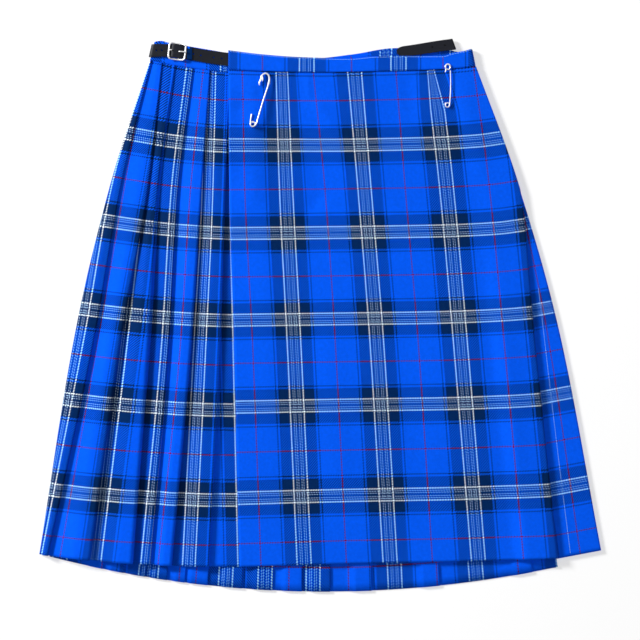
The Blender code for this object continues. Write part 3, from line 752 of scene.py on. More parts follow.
def stitch_tree():
    """A Geometry Nodes tree that lays one stitch at each pitch along a line."""
    tree = bpy.data.node_groups.new("stitches", "GeometryNodeTree")
    face = tree.interface
    face.new_socket("Line", in_out="INPUT", socket_type="NodeSocketGeometry")
    for name in ("Pitch", "Length", "Radius"):
        face.new_socket(name, in_out="INPUT", socket_type="NodeSocketFloat")
    face.new_socket("Thread", in_out="INPUT", socket_type="NodeSocketMaterial")
    face.new_socket("Stitches", in_out="OUTPUT", socket_type="NodeSocketGeometry")
    add = tree.nodes.new
    given, result = add("NodeGroupInput"), add("NodeGroupOutput")
    curve, points = add("GeometryNodeMeshToCurve"), add("GeometryNodeCurveToPoints")
    points.mode = "LENGTH"
    along = add("FunctionNodeAlignRotationToVector")
    along.axis = "Z"
    bead = add("GeometryNodeMeshUVSphere")
    put(bead, {"Segments": 6, "Rings": 4, "Radius": 1.0})
    half = add("ShaderNodeMath")
    half.operation = "MULTIPLY"
    half.inputs[1].default_value = 0.5
    size = add("ShaderNodeCombineXYZ")
    lay, real = add("GeometryNodeInstanceOnPoints"), add("GeometryNodeRealizeInstances")
    paint = add("GeometryNodeSetMaterial")
    for source, out, target, into in (
        (given, "Line", curve, "Mesh"),
        (curve, "Curve", points, "Curve"),
        (given, "Pitch", points, "Length"),
        (points, "Tangent", along, "Vector"),
        (given, "Length", half, 0),
        (given, "Radius", size, "X"),
        (given, "Radius", size, "Y"),
        (half, "Value", size, "Z"),
        (points, "Points", lay, "Points"),
        (bead, "Mesh", lay, "Instance"),
        (along, "Rotation", lay, "Rotation"),
        (size, "Vector", lay, "Scale"),
        (lay, "Instances", real, "Geometry"),
        (real, "Geometry", paint, "Geometry"),
        (given, "Thread", paint, "Material"),
        (paint, "Geometry", result, "Stitches"),
    ):
        tree.links.new(source.outputs[out], target.inputs[into])
    return tree


stitches = stitch_tree()
sewing_thread, sewing_shader = material_named("sewing_thread", 0.7)
put(sewing_shader, {"Specular IOR Level": 0.2})
sewing_tone = node_in(sewing_thread, "ShaderNodeMix", data_type="RGBA")
sewing_tone.inputs[MIX_A].default_value = (0.2, 0.6, 0.95, 1.0)
sewing_tone.inputs[MIX_B].default_value = (0.6, 0.9, 1.0, 1.0)
join(sewing_thread, noise(sewing_thread, 350.0), sewing_tone.inputs["Factor"])
join(sewing_thread, sewing_tone.outputs[MIXED], sewing_shader.inputs["Base Color"])


def real_mesh(thing):
    """The mesh that a piece's modifiers or its curve make."""
    graph = bpy.context.evaluated_depsgraph_get()
    return bpy.data.meshes.new_from_object(thing.evaluated_get(graph))


def stitch_line(name, path):
    """A line of stitches along points in millimetres, as a piece of its own."""
    mesh = bpy.data.meshes.new(name)
    places = (np.array(path, float) - MIDDLE) * MM
    mesh.from_pydata(places.tolist(), [(i, i + 1) for i in range(len(places) - 1)], [])
    thing = placed(name, mesh)
    sewn = thing.modifiers.new("Stitches", "NODES")
    sewn.node_group = stitches
    values = {
        "Pitch": STITCH_PITCH * MM,
        "Length": STITCH_LENGTH * MM,
        "Radius": STITCH_RADIUS * MM,
        "Thread": sewing_thread,
    }
    for item in stitches.interface.items_tree:
        if item.name in values:
            sewn[item.identifier] = values[item.name]
    thing.data = real_mesh(thing)
    thing.modifiers.clear()
    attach(thing, "root")


side_cloth = panel("side_cloth", side_row, SIDE_ROWS)
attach(side_cloth, "root")
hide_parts("right_side")
stitch_line("side_stitches", [(x, y, FRONT_IN + WALL / 2) for x, y in SIDE_STITCHES])


# Apron on top
# A smooth panel of the same twill over the front, with soft creases where the pin holds it and below
# the darts, and the kick pleat's fold at its right, turned under along its length.
APRON_EDGE_HEIGHT = (8.9, 6.3)
APRON_WAIST_HEIGHT = 7.2
APRON_LOFT = 0.9
APRON_FALL = 70.0
APRON_FALL_LENGTH = 0.14
KICK_RETURN = 28.0
KICK_CLIMB_START = 56.0
KICK_CLIMB = 22.0
# How much the kick pleat's fold stands up at waist, hip, thigh and hem
KICK_PUFF = (0.0, 0.6, 3.4, 4.4)
KICK_SMOOTH = 8.0
APRON_ROWS = 200
APRON_COLUMNS = 120
# The sett's threads across the apron, and the x of each at waist, hip, thigh and hem
APRON_THREADS = (
    (84.0, -93.4, -90.2, -81.2, -71.1),
    (168.0, -45.9, -40.7, -31.5, -19.2),
    (252.0, -8.4, 6.1, 18.0, 31.5),
    (336.0, 41.2, 53.5, 67.8, 84.0),
    (420.0, 90.7, 102.4, 117.5, 134.7),
    (504.0, 135.2, 152.0, 167.9, 189.8),
    (588.0, 183.8, 203.2, 219.9, 243.8),
)
DART_GROUP = 5
DART_LENGTH = 0.085
DART_THREADS = 14.5
# Half the dart group's width to each side, at the waist and where the dart ends
DART_LEFT = (6.6, 8.7)
DART_RIGHT = (1.2, 8.7)
# Ridges and troughs: both ends as x and y, half width and height
CREASES = (
    (-118.0, 292.0, -112.0, 150.0, 19.0, 3.0),
    (-86.0, 252.0, -76.0, 110.0, 17.0, 2.6),
    (-84.0, 296.0, -74.0, 190.0, 9.0, 1.1),
    (-62.0, 296.0, -50.0, 214.0, 6.0, -1.2),
    (-98.0, 250.0, -40.0, 214.0, 8.0, 1.2),
    (-30.0, 236.0, -18.0, 140.0, 12.0, 1.5),
    (-10.0, 262.0, 26.0, 214.0, 9.0, 1.3),
    (4.0, 150.0, -34.0, 96.0, 10.0, -1.4),
    (-4.0, 120.0, 30.0, 52.0, 11.0, 0.7),
    (60.0, 300.0, 74.0, 120.0, 14.0, 0.9),
    (104.0, 298.0, 112.0, 230.0, 10.0, -0.8),
    (136.0, 298.0, 150.0, 246.0, 3.0, 0.9),
    (168.0, 296.0, 196.0, 150.0, 12.0, 1.0),
    (-16.0, 298.0, -12.0, 250.0, 3.0, 0.6),
    (-70.0, 160.0, -60.0, -180.0, 16.0, 0.8),
    (6.0, 40.0, 26.0, -290.0, 18.0, 0.9),
    (96.0, 60.0, 122.0, -290.0, 20.0, -0.7),
    (168.0, 80.0, 214.0, -300.0, 18.0, 1.0),
    (-40.0, -60.0, -34.0, -300.0, 14.0, -0.6),
    (214.0, 40.0, 240.0, -250.0, 12.0, 0.8),
)


def apron_height(x, down):
    """Height of the top apron: over the pleats at its left edge and over the kick pleat at its right."""
    near_waist = ease(1 - down / APRON_FALL_LENGTH)
    middle = blend(FRONT_IN + STEP + APRON_LOFT, APRON_WAIST_HEIGHT, near_waist)
    left = blend(*APRON_EDGE_HEIGHT, down)
    fall = ease(1 - (x - edge(APRON_EDGE, down)) / APRON_FALL)
    right = max(FRONT_OUT, middle) + edge(KICK_PUFF, down)
    climb = ease((x - kick_x(down) + KICK_CLIMB_START) / KICK_CLIMB)
    return np.maximum(blend(middle, left, fall), blend(middle, right, climb))


def apron_threads(x, down):
    """Warp threads across the apron, squeezed by the dart near the waist."""
    counts, places = rows_at(APRON_THREADS, down)
    opened = min(down / DART_LENGTH, 1.0)
    middle = places.pop(DART_GROUP)
    count = counts.pop(DART_GROUP)
    for side, widths in ((-1, DART_LEFT), (1, DART_RIGHT)):
        places.append(middle + side * blend(*widths, opened))
        counts.append(count + side * DART_THREADS)
    return through(sorted(places), sorted(counts), x)


def apron_row(down):
    """One row of the top apron, from its free edge to the strip turned under at the kick pleat."""
    left, fold = edge(APRON_EDGE, down), kick_x(down)
    low = FRONT_IN + STEP
    top = float(apron_height(np.array([fold]), down)[0])
    radius = (top - low) / 2
    front = np.linspace(left, fold - radius, APRON_COLUMNS)
    height = apron_height(front, down)
    turn_x, turn_z = arc(fold - radius, (top + low) / 2, radius, 90, -90, FOLD_POINTS)
    strip = np.linspace(fold - radius, fold - KICK_RETURN, LAST_POINTS + 1)[1:]
    x = np.concatenate((front, turn_x, strip))
    y = apron_line(x, down)
    lift = creased(front, y[:APRON_COLUMNS], CREASES) * ease((fold - radius - front) / KICK_SMOOTH)
    z = np.concatenate((height + lift, turn_z, np.full(LAST_POINTS, low)))
    thread = np.concatenate((apron_threads(front, down), np.full(FOLD_POINTS + LAST_POINTS, np.nan)))
    return x, y, z, fill_threads(x, z, thread), weft(down)


apron_cloth = panel("apron_cloth", apron_row, APRON_ROWS)
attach(apron_cloth, "root")
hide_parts("over_apron")


# Waistbands
# A strip of the same twill folded over the pleats' tops and topstitched by hand along its upper edge.
# The left length turns round the left side, and the top one round the right side.
# Top edge of each band as x and y
LEFT_BAND_TOP = (
    (-199.3, 328.8),
    (-191.5, 330.0),
    (-180.6, 327.4),
    (-161.1, 324.0),
    (-140.1, 320.4),
    (-110.7, 315.2),
)
APRON_BAND_TOP = (
    (-110.1, 318.0),
    (-72.3, 313.4),
    (-24.3, 309.8),
    (34.5, 308.2),
    (66.9, 310.8),
    (120.0, 311.4),
    (147.3, 311.4),
    (158.1, 314.4),
    (173.7, 317.5),
    (182.2, 320.2),
)
BACK_BAND_TOP = (
    (-194.0, 328.4),
    (-110.7, 313.8),
    (-12.0, 309.0),
    (39.3, 314.3),
    (87.9, 321.9),
    (140.0, 322.6),
    (164.0, 317.0),
    (177.0, 314.0),
)
BAND = 2.4
UNDER_BAND = 1.6
LEFT_BAND_LEAN = 5.5
RIGHT_BAND_LEAN = 4.2
LEAN_REACH = 30.0
BAND_RETURN = 11.0
BAND_FLAT = 8.0
BACK_BAND_HEIGHT = 1.2
LEFT_BAND_HEIGHT = 4.8
UNDER_BAND_HEIGHT = 5.4
UNDER_BAND_LESS = 3.0
APRON_BAND_HEIGHT = (9.4, 7.7)
# Share of a band's thickness at each distance from its ends
BAND_ENDS = ((0.0, 0.42), (0.3, 0.75), (0.7, 0.92), (1.3, 1.0))
# The sett's threads along each band with the x of each, and across it from its seam to its top edge
APRON_BAND_THREADS = ((84.0, -69.3), (168.0, -16.2), (252.0, 37.5), (336.0, 93.9), (420.0, 147.2))
LEFT_BAND_THREADS = ((84.0, -161.8), (168.0, -111.4))
BACK_BAND_THREADS = ((84.0, 36.9), (168.0, 78.9))
BAND_WEFT = (44.0, 83.0)
# A band's section: shares of the way down its back and its front, the fold over its top, and its tuck at
# the seam, given as down, out and up
BACK_DOWN = (1.0, 0.75, 0.5, 0.25, 0.1)
FRONT_DOWN = (0.1, 0.25, 0.5, 0.75, 0.9)
OVER_DOWN, OVER_POINTS = 0.04, 9
TUCK = ((0.99, 0.92, 0.0), (1.0, 0.6, 0.0), (0.98, 0.2, 0.0))
STITCH_DROP = 1.8
LEFT_SEWN = (-186.0, -111.5)
APRON_SEWN = (-107.0, 181.0)
SEWN_POINTS = 60


def lean(x, down):
    """How far a band's points move inwards above the seam, near each side."""
    left = LEFT_BAND_LEAN * ease(1 - abs(x - LEFT_SIDE[0]) / LEAN_REACH)
    right = RIGHT_BAND_LEAN * ease(1 - abs(x - KICK_FOLD[0]) / LEAN_REACH)
    return (left - right) * (1 - down)


def turned_end(side, towards, height, seam):
    """Stations of a band round a side to the table: x, z, which way it faces, and its seam."""
    radius = (height - BACK_BAND_HEIGHT) / 2
    centre = side + towards * (radius + BAND / 2)
    middle = (height + BACK_BAND_HEIGHT) / 2
    stations = []
    for angle in np.radians(np.linspace(90, -90, SIDE_POINTS + 1)):
        face = (-towards * math.cos(angle), math.sin(angle))
        stations.append((centre + radius * face[0], middle + radius * face[1], *face, seam))
    for back in np.linspace(centre, side + towards * BAND_RETURN, LAST_POINTS + 1)[1:]:
        stations.append((back, BACK_BAND_HEIGHT, 0.0, -1.0, seam))
    return stations


def level_band(left, right, height, seam, count):
    """Stations of a band that lies flat."""
    return [(x, height(x), 0.0, 1.0, seam) for x in np.linspace(left, right, count)]


def apron_band_height(x):
    """Height of the top band: over the strap at its left end, then lower."""
    over_strap = ease(1 - (x - APRON_EDGE[0]) / APRON_FALL)
    return float(blend(APRON_BAND_HEIGHT[1], APRON_BAND_HEIGHT[0], over_strap))


def fullness(run):
    """The band's thickness at each station as a share: it is sewn flat at both ends."""
    reach = np.minimum(run, run[-1] - run)
    return np.interp(reach, *zip(*BAND_ENDS))


def folded_band(name, stations, top, threads, thickness):
    """A band folded over at its top edge: up its back, over, down its front and tucked in at the seam."""
    xs, zs, face_x, face_z = np.array([station[:4] for station in stations], float).T
    run = run_along(np.hypot(np.diff(xs), np.diff(zs)))
    half = (thickness - WALL) / 2 * fullness(run)
    back = [(down, -1.0, 0.0) for down in BACK_DOWN]
    turns = np.radians(np.linspace(0, 180, OVER_POINTS))
    over = [(OVER_DOWN, -math.cos(angle), math.sin(angle)) for angle in turns]
    front = [(down, 1.0, 0.0) for down in FRONT_DOWN]
    tops = list(zip(*top))
    rows = []
    for down, out, up in (*back, *over, *front, *TUCK):
        at = xs + lean(xs, down)
        seams = np.array([float(station[4](x, 0.0)) for station, x in zip(stations, at)]) + GAP
        y = blend(through(*tops, at) - half, seams, down) + up * half
        front_weft = blend(BAND_WEFT[1], BAND_WEFT[0], down)
        weft_at = front_weft if out > 0 else 2 * BAND_WEFT[1] - front_weft
        thread = through(*list(zip(*threads))[::-1], at)
        rows.append((at + face_x * half * out, y, zs + face_z * half * out, thread, weft_at))
    return cloth(name, rows, tartan)


def level(height):
    """The height along a band that lies at one height."""
    return lambda x: height


left_side, right_side = LEFT_SIDE[0], KICK_FOLD[0]
band_start = APRON_EDGE[0]
inside = BAND_RETURN + GAP
left_stations = turned_end(left_side, 1, LEFT_BAND_HEIGHT, left_line)[::-1]
left_stations += level_band(
    left_side + BAND_FLAT, band_start + UNDERLAP, level(LEFT_BAND_HEIGHT), left_line, count=60
)
top_stations = level_band(band_start, right_side - BAND_FLAT, apron_band_height, apron_line, count=150)
top_stations += turned_end(right_side, -1, APRON_BAND_HEIGHT[1], side_line)
under_stations = level_band(
    band_start + UNDERLAP + GAP, right_side - SIDE_START, level(UNDER_BAND_HEIGHT), under_line, count=30
)
back_stations = level_band(
    left_side + inside, right_side - inside, level(BACK_BAND_HEIGHT), back_line, count=100
)
under_top = [(x, y - UNDER_BAND_LESS) for x, y in APRON_BAND_TOP]
back_band = folded_band("back_band", back_stations, BACK_BAND_TOP, BACK_BAND_THREADS, BAND)
left_band = folded_band("left_band", left_stations, LEFT_BAND_TOP, LEFT_BAND_THREADS, BAND)
under_band = folded_band("under_band", under_stations, under_top, APRON_BAND_THREADS, UNDER_BAND)
apron_band = folded_band("apron_band", top_stations, APRON_BAND_TOP, APRON_BAND_THREADS, BAND)
for piece, node, flat, lower in (
    (back_band, "waistband_back", (0.37, 0.045), "back_cloth"),
    (left_band, "waistband_left", (0.13, 0.05), "left_cloth"),
    (under_band, "waistband_under_apron", (0.25, 0.04), "back_band"),
    (apron_band, "waistband_apron", (0.32, 0.04), "under_band"),
):
    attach(piece, "root")
    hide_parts(node)
for name, tops, start, end, height in (
    ("left_band_stitches", LEFT_BAND_TOP, *LEFT_SEWN, level(LEFT_BAND_HEIGHT)),
    ("apron_band_stitches", APRON_BAND_TOP, *APRON_SEWN, apron_band_height),
):
    along = np.linspace(start, end, SEWN_POINTS)
    up = through(*zip(*tops), along) - STITCH_DROP
    stitch_line(name, [(x, y, height(x) + BAND / 2) for x, y in zip(along, up)])


# Straps
# Black leather 1.6 mm thick with a fine grain and punched holes. The left one runs through the buckle,
# a loop of the twill and under the top band. The right one is loose: it comes from behind the bands and
# is folded back.
LEATHER = 1.6
LEATHER_EDGE = 0.3
EDGE_ANGLE = 50
# Stations of each strap: x, y, height, half width and turn. The left one's first LEFT_CLIMB stations climb
# over the side, and the right one's upper run comes after its station RIGHT_FOLD.
LEFT_STRAP = (
    (-203.6, 317.4, 1.4, 7.6, -13.0),
    (-203.6, 317.4, 4.6, 7.6, -13.0),
    (-202.8, 317.3, 6.6, 7.6, -12.0),
    (-200.6, 317.3, 7.5, 7.6, -9.0),
    (-194.0, 317.5, 7.9, 7.6, -3.0),
    (-187.0, 317.4, 8.3, 7.6, -3.5),
    (-180.5, 317.0, 8.5, 7.7, -5.5),
    (-175.0, 316.9, 9.9, 8.1, -6.0),
    (-168.5, 316.1, 9.9, 8.1, -6.5),
    (-163.0, 315.0, 8.5, 7.7, -7.0),
    (-154.0, 313.5, 8.1, 7.6, -7.5),
    (-145.0, 311.8, 7.5, 7.6, -8.0),
    (-134.0, 309.9, 7.1, 7.6, -8.0),
    (-110.7, 306.8, 7.1, 7.7, -7.5),
    (-96.0, 304.9, 7.1, 7.7, -7.0),
)
LEFT_CLIMB = 3
STRAP_HOLES = (-196.6, -189.9, -152.0, -143.3, -128.0, -118.0)
RIGHT_STRAP = (
    (129.0, 320.7, 3.5, 6.3, 8.8),
    (155.0, 324.6, 3.5, 6.5, 12.0),
    (159.6, 325.1, 4.1, 6.8, 20.0),
    (160.4, 325.2, 4.8, 6.8, 20.0),
    (159.6, 325.1, 5.5, 6.8, 20.0),
    (155.0, 324.7, 5.4, 6.4, 12.0),
    (101.0, 316.6, 5.4, 6.3, 8.8),
    (97.0, 316.2, 5.4, 5.6, 8.8),
    (93.8, 316.0, 5.4, 4.2, 8.8),
    (91.8, 316.0, 5.4, 1.8, 8.8),
)
RIGHT_FOLD = 4
RIGHT_STRAP_HOLES = (134.5, 149.7)
UPPER_RUN_LOW = 4.45
STRAP_ROWS, STRAP_COLUMNS = 9, 140
HOLE_LOW, HOLE_HIGH, HOLE_SIDES = -4.0, 20.0, 24
LOOP = (-159.6, -153.4)
LOOP_HALF = 8.0
LOOP_CLEAR = 0.35
LOOP_WALL = 0.8
LOOP_FOOT = 6.3
LOOP_ROUND = 0.12
LOOP_ROWS, LOOP_COLUMNS = 21, 9
# The loop's threads are taken from the navy part of the sett: its dark colour is partly the loop's own and
# partly painted shade beside the buckle
LOOP_THREADS, LOOP_SPAN = 30.0, 4.0
HOLE_RADIUS = 1.1
BUCKLE_X = -171.5
BUCKLE_Y = 316.0
BUCKLE_TURN = -6.0
PRONG_HOLE = 2.2
GRAIN_SCALE, GRAIN_DEPTH, GRAIN_STRENGTH = 1500.0, 0.0001, 0.35
WRINKLE_SCALE, WRINKLE_DEPTH = 700.0, 0.6
WEAR_SCALE, WEAR_DEPTH, WEAR_LOW = 90.0, 0.25, 0.34

leather, leather_shader = material_named("black_leather", 0.46)
put(leather_shader, {"Base Color": (0.0055, 0.007, 0.013, 1.0), "Specular IOR Level": 0.22})
grain_place = node_in(leather, "ShaderNodeTexCoord")
grain = node_in(leather, "ShaderNodeTexVoronoi", feature="DISTANCE_TO_EDGE")
join(leather, grain_place.outputs["Object"], grain.inputs["Vector"])
put(grain, {"Scale": GRAIN_SCALE})
wrinkles = noise(leather, WRINKLE_SCALE, 4.0)
grain_height = maths(leather, "MULTIPLY_ADD", wrinkles, WRINKLE_DEPTH, grain.outputs["Distance"])
leather_bump = node_in(leather, "ShaderNodeBump")
put(leather_bump, {"Strength": GRAIN_STRENGTH, "Distance": GRAIN_DEPTH})
join(leather, grain_height, leather_bump.inputs["Height"])
join(leather, leather_bump.outputs["Normal"], leather_shader.inputs["Normal"])
worn = maths(leather, "MULTIPLY_ADD", noise(leather, WEAR_SCALE, 3.0), WEAR_DEPTH, WEAR_LOW)
join(leather, worn, leather_shader.inputs["Roughness"])


def strap(name, stations, holes, thickness, count=STRAP_COLUMNS):
    """A leather strap through stations, with a hole at each x and y from low to high."""
    table = np.array(stations)
    run = run_along(np.linalg.norm(np.diff(table[:, :3], axis=0), axis=1))
    at = np.linspace(0.0, run[-1], count)
    x, y, z, half, turn = (through(run, column, at) for column in table.T)
    angle = np.radians(turn)
    rows = []
    for side in np.linspace(1.0, -1.0, STRAP_ROWS):
        rows.append((x - np.sin(angle) * half * side, y + np.cos(angle) * half * side, z, at, side))
    thing = cloth(name, rows, leather, thickness)
    for i, (hole_x, hole_y, low, high) in enumerate(holes):
        bpy.ops.mesh.primitive_cylinder_add(
            vertices=HOLE_SIDES,
            radius=HOLE_RADIUS * MM,
            depth=(high - low) * MM,
            location=((hole_x - MIDDLE[0]) * MM, (hole_y - MIDDLE[1]) * MM, (low + high) / 2 * MM),
        )
        cutter = bpy.context.object
        hole = thing.modifiers.new(f"Hole {i + 1}", "BOOLEAN")
        hole.operation = "DIFFERENCE"
        hole.object = cutter
        bpy.context.view_layer.update()
    bevel = thing.modifiers.new("Edges", "BEVEL")
    bevel.width = LEATHER_EDGE * MM
    bevel.segments = 2
    bevel.limit_method = "ANGLE"
    bevel.angle_limit = math.radians(EDGE_ANGLE)
    return as_mesh(thing)


def as_mesh(thing):
    """Makes a piece's modifiers real and removes what they cut with."""
    mesh = real_mesh(thing)
    cutters = [modifier.object for modifier in thing.modifiers if modifier.type == "BOOLEAN"]
    thing.modifiers.clear()
    thing.data = mesh
    mesh.name = thing.name
    for cutter in cutters:
        bpy.data.objects.remove(cutter, do_unlink=True)
    return thing


def strap_y(stations, x):
    """y of a strap's middle at x, where its stations run left to right."""
    return float(np.interp(x, *list(zip(*stations))[:2]))


left_places = (*STRAP_HOLES, BUCKLE_X + PRONG_HOLE)
left_holes = [(x, strap_y(LEFT_STRAP, x), HOLE_LOW, HOLE_HIGH) for x in left_places]
left_strap = strap("left_leather", LEFT_STRAP, left_holes, LEATHER)
upper_run = RIGHT_STRAP[:RIGHT_FOLD:-1]
right_holes = [(x, strap_y(upper_run, x), UPPER_RUN_LOW, HOLE_HIGH) for x in RIGHT_STRAP_HOLES]
right_strap = strap("right_leather", RIGHT_STRAP, right_holes, LEATHER)
along = np.linspace(*LOOP, LOOP_COLUMNS)
level_run = list(zip(*LEFT_STRAP[LEFT_CLIMB:]))
loop_top = through(level_run[0], level_run[2], along) + LEATHER / 2
loop_rows = []
for side in np.linspace(1.0, -1.0, LOOP_ROWS):
    share = min((1.0 - abs(side)) / LOOP_ROUND, 1.0)
    y = np.array([strap_y(LEFT_STRAP, x) for x in along]) + side * LOOP_HALF
    z = blend(LOOP_FOOT, loop_top + LOOP_CLEAR + LOOP_WALL / 2, math.sqrt(share * (2.0 - share)))
    warp_at = LOOP_THREADS + (along - along[0]) / PITCH / 2
    loop_rows.append((along, y, z, warp_at, LOOP_THREADS + side * LOOP_SPAN))
loop = cloth("strap_loop", loop_rows, tartan, LOOP_WALL)
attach(loop, "root")
for piece, node in ((left_strap, "left_strap"), (right_strap, "right_strap")):
    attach(piece, "root")
    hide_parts(node)


# Buckle
# Plated steel wire bent to a rounded frame, with a centre bar held to the band by a leather tab. The
# prong goes through the strap and rests on the frame's far bar. A short spur is on the near bar.
FRAME_LENGTH = 22.0
FRAME_WIDTH = 21.2
FRAME_CORNER = 3.4
FRAME_RADIUS = 1.1
FRAME_LOW = 7.6
FRAME_HIGH = 10.5
CORNER_POINTS = 8
EDGE_SHARES = (0.5, 0.0, -0.5)
BAR_RADIUS = 0.7
BAR_HEIGHT = 8.2
PRONG_RADIUS = 0.75
# The prong and the spur: distance along the buckle and height
PRONG_PATH = ((0.0, 9.4), (0.0, 11.0), (0.4, 11.8), (1.4, 12.3), (5.0, 12.7), (9.0, 12.45))
SPUR_PATH = ((0.0, 10.5), (1.6, 11.3), (3.6, 11.5))
SPUR_ACROSS = 0.9
PRONG_POINTS, SPUR_POINTS, TAB_COLUMNS = 40, 20, 20
TAB_THICKNESS = 1.0
TAB_HEIGHT = 6.8
TAB_HALF_LENGTH = 15.5
TAB_HALF_WIDTH = 6.9
POLISH_SCALE, POLISH_DEPTH, POLISH_LOW = 400.0, 0.2, 0.2

plate, plate_shader = material_named("bright_plate", 0.2, 0.6)
put(plate_shader, {"Base Color": (0.96, 0.96, 0.97, 1.0)})
polish = maths(plate, "MULTIPLY_ADD", noise(plate, POLISH_SCALE, 3.0), POLISH_DEPTH, POLISH_LOW)
join(plate, polish, plate_shader.inputs["Roughness"])


def smooth_path(points, count):
    """A curve through points, evenly sampled."""
    table = np.array(points, float)
    run = run_along(np.linalg.norm(np.diff(table, axis=0), axis=1))
    at = np.linspace(0.0, run[-1], count)
    return np.stack([through(run, column, at) for column in table.T], axis=1)


def wire(name, path, radii, closed=False):
    """A round plated wire along a path with a radius at each point, as a smooth mesh."""
    data = bpy.data.curves.new(name, "CURVE")
    data.dimensions = "3D"
    data.bevel_depth = MM
    data.bevel_resolution = 5
    data.use_fill_caps = not closed
    spline = data.splines.new("POLY")
    spline.points.add(len(path) - 1)
    for point, place, radius in zip(spline.points, path, np.broadcast_to(radii, len(path))):
        point.co = (*((np.array(place) - MIDDLE) * MM), 1.0)
        point.radius = radius
    spline.use_cyclic_u = closed
    spline.use_smooth = True
    curve = placed(name, data)
    mesh = real_mesh(curve)
    bpy.data.objects.remove(curve, do_unlink=True)
    mesh.name = name
    mesh.materials.clear()
    mesh.materials.append(plate)
    mesh.shade_smooth()
    return placed(name, mesh)


def joined(name, things):
    """Several meshes as one piece."""
    shape = bmesh.new()
    for thing in things:
        shape.from_mesh(thing.data)
    mesh = things[0].data
    for thing in things[1:]:
        bpy.data.objects.remove(thing, do_unlink=True)
    shape.to_mesh(mesh)
    shape.free()
    things[0].name = name
    mesh.name = name
    return things[0]


def on_buckle(along, across):
    """The place of a point given along and across the turned buckle."""
    angle = math.radians(BUCKLE_TURN)
    x = BUCKLE_X + along * math.cos(angle) - across * math.sin(angle)
    y = BUCKLE_Y + along * math.sin(angle) + across * math.cos(angle)
    return x, y


half_length = FRAME_LENGTH / 2 - FRAME_RADIUS
half_width = FRAME_WIDTH / 2 - FRAME_RADIUS
straight = half_length - FRAME_CORNER
frame_path = []
for quarter, (side_x, side_y) in enumerate(((1, 1), (-1, 1), (-1, -1), (1, -1))):
    for step in range(CORNER_POINTS + 1):
        angle = math.radians(90 * quarter + 90 * step / CORNER_POINTS)
        along = side_x * straight + FRAME_CORNER * math.cos(angle)
        across = side_y * (half_width - FRAME_CORNER) + FRAME_CORNER * math.sin(angle)
        frame_path.append((along, across))
    if side_x == side_y:
        frame_path += [(share * side_y * straight, side_y * half_width) for share in EDGE_SHARES]
frame_points = []
for along, across in frame_path:
    height = blend(FRAME_LOW, FRAME_HIGH, min(abs(along) / (half_length - FRAME_CORNER / 3), 1.0) ** 2)
    frame_points.append((*on_buckle(along, across), height))
frame_wire = wire("frame_wire", frame_points, FRAME_RADIUS, closed=True)
bar_points = [(*on_buckle(PRONG_HOLE, across), BAR_HEIGHT) for across in (-half_width, half_width)]
bar_wire = wire("bar_wire", bar_points, BAR_RADIUS)
spur_places = [(*on_buckle(along - half_length, SPUR_ACROSS), z) for along, z in SPUR_PATH]
spur_points = smooth_path(spur_places, SPUR_POINTS)
spur_wire = wire("spur_wire", spur_points, PRONG_RADIUS)
buckle = joined("buckle_wire", [frame_wire, bar_wire, spur_wire])
prong_places = [(*on_buckle(PRONG_HOLE + along, 0.0), z) for along, z in PRONG_PATH]
prong_points = smooth_path(prong_places, PRONG_POINTS)
prong = wire("prong_wire", prong_points, PRONG_RADIUS)
tab_stations = []
for along in (-TAB_HALF_LENGTH, TAB_HALF_LENGTH):
    tab_stations.append((*on_buckle(along, 0.0), TAB_HEIGHT, TAB_HALF_WIDTH, BUCKLE_TURN))
tab = strap("tab_leather", tab_stations, [], TAB_THICKNESS, count=TAB_COLUMNS)
for piece, node, slot in (
    (buckle, "buckle_frame", "buckle_metal"),
    (prong, "buckle_prong", "buckle_metal"),
    (tab, "buckle_tab", "strap_leather"),
):
    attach(piece, "root")
    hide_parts(node)


# Pins
# Two safety pins of plated wire on the top apron, each with a folded sheet cap, a bar down to a coil,
# and a needle whose point is in the cloth.
PIN_LIFT = 0.3
COIL_REACH = 8.0
COIL_START = -50.0
COIL_TURN = 490.0
COIL_STEPS = 70
CAP_POINTS, CATCH_POINTS, BAR_POINTS = 48, 16, 40
# The bar has come down from the cap to the coil by this one of its points
BAR_DROP = 2
# Of each pin: its cap's wire as x and y with its radii, the flap of its catch, its bar and its needle as
# x and y, its wire's radius, and its coil's middle and radius
KILT_CAP = (
    (-72.8, 275.3),
    (-73.0, 278.3),
    (-71.5, 281.7),
    (-70.3, 286.1),
    (-67.9, 288.8),
    (-65.6, 289.6),
    (-63.1, 288.5),
    (-61.3, 285.6),
    (-60.9, 282.1),
    (-61.4, 278.5),
    (-61.7, 277.2),
    (-62.0, 276.1),
)
KILT_CAP_RADII = (0.7, 1.0, 1.0, 1.0, 1.05, 1.1, 1.15, 1.15, 1.15, 1.2, 1.8, 0.9)
KILT_CATCH = ((-69.2, 285.9), (-69.0, 282.9), (-69.5, 280.1))
KILT_CATCH_RADII = (0.5, 1.1, 0.6)
KILT_BAR = ((-62.1, 276.1), (-68.7, 255.3), (-76.4, 229.5), (-77.4, 227.1))
KILT_NEEDLE = ((-83.7, 230.9), (-82.2, 240.7))
KILT_WIRE = 0.88
KILT_COIL = (-80.8, 228.4, 2.85)
SMALL_CAP = (
    (149.6, 291.2),
    (150.7, 294.4),
    (150.1, 297.4),
    (150.9, 299.7),
    (152.9, 300.7),
    (154.9, 299.8),
    (155.8, 297.6),
    (155.2, 295.4),
    (153.2, 294.3),
    (151.6, 295.2),
)
SMALL_CAP_RADII = (0.5, 0.8, 0.9, 0.9, 0.95, 0.95, 0.95, 0.9, 0.7, 0.6)
SMALL_BAR = ((156.0, 293.0), (156.3, 276.0), (155.4, 256.0), (155.1, 252.6))
SMALL_NEEDLE = ((149.9, 252.8), (150.2, 254.6))
SMALL_WIRE = 0.6
SMALL_COIL = (152.6, 251.8, 2.6)


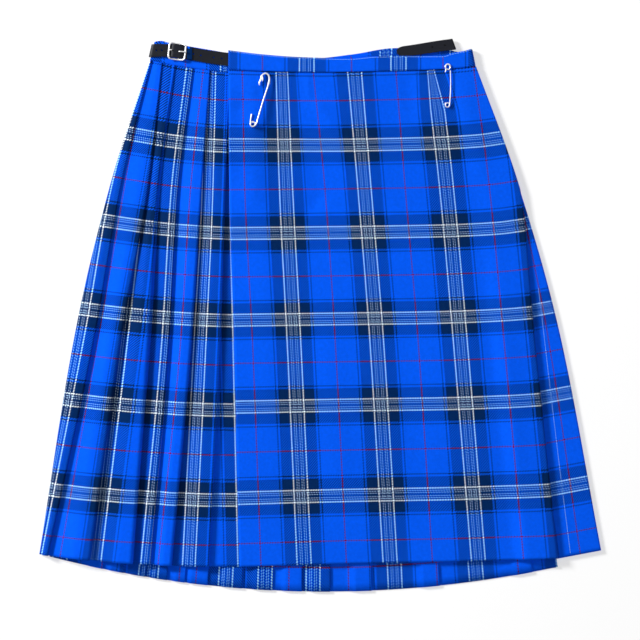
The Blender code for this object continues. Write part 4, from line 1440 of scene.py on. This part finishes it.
def surface_height(x, y):
    """Height of the top of the apron, or of its band above the seam, at a place on the front."""
    seam = float(apron_line(x, 0.0))
    if y > seam:
        return apron_band_height(x) + BAND / 2
    down = (seam - y) / (seam - float(apron_line(x, 1.0)))
    lift = creased(np.array([x]), np.array([y]), CREASES)
    return float(apron_height(np.array([x]), down)[0] + lift[0]) + CLOTH / 2


def make_pin(name, cap, cap_radii, bar, needle, coil, wire_radius, catch=None):
    """A safety pin lying on the apron, as its cap and its wire."""
    cap_height = max(surface_height(x, y) for x, y in cap) + PIN_LIFT + max(cap_radii)
    outline = smooth_path([(x, y, radius) for (x, y), radius in zip(cap, cap_radii)], CAP_POINTS)
    cap_path = [(x, y, cap_height) for x, y, radius in outline]
    cap_piece = wire(f"{name}_sheet", cap_path, outline[:, 2])
    if catch:
        fold = smooth_path([(x, y, radius) for (x, y), radius in zip(*catch)], CATCH_POINTS)
        flap = wire(f"{name}_flap", [(x, y, cap_height) for x, y, radius in fold], fold[:, 2])
        cap_piece = joined(f"{name}_sheet", [cap_piece, flap])
    centre_x, centre_y, coil_radius = coil
    low = surface_height(centre_x, centre_y + COIL_REACH) + PIN_LIFT + wire_radius
    high = low + (2 * wire_radius + GAP) * COIL_TURN / 360
    shank = [(x, y, blend(cap_height, high, min(i / BAR_DROP, 1.0))) for i, (x, y) in enumerate(bar)]
    path = smooth_path(shank, BAR_POINTS).tolist()
    for share in np.linspace(0.0, 1.0, COIL_STEPS)[1:]:
        angle = math.radians(COIL_START - COIL_TURN * share)
        x = centre_x + coil_radius * math.cos(angle)
        y = centre_y + coil_radius * math.sin(angle)
        path.append((x, y, blend(high, low, share)))
    path += [(x, y, low) for x, y in needle]
    return cap_piece, wire(f"{name}_shank", path, wire_radius)


kilt_wires = (KILT_BAR, KILT_NEEDLE, KILT_COIL, KILT_WIRE)
small_wires = (SMALL_BAR, SMALL_NEEDLE, SMALL_COIL, SMALL_WIRE)
kilt_pin = make_pin("kilt_pin", KILT_CAP, KILT_CAP_RADII, *kilt_wires, catch=(KILT_CATCH, KILT_CATCH_RADII))
small_pin = make_pin("small_pin", SMALL_CAP, SMALL_CAP_RADII, *small_wires)
pin_nodes = ("kilt_pin_cap", "kilt_pin_wire", "small_pin_cap", "small_pin_wire")
for piece, node in zip((*kilt_pin, *small_pin), pin_nodes):
    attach(piece, "root")
    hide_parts(node)
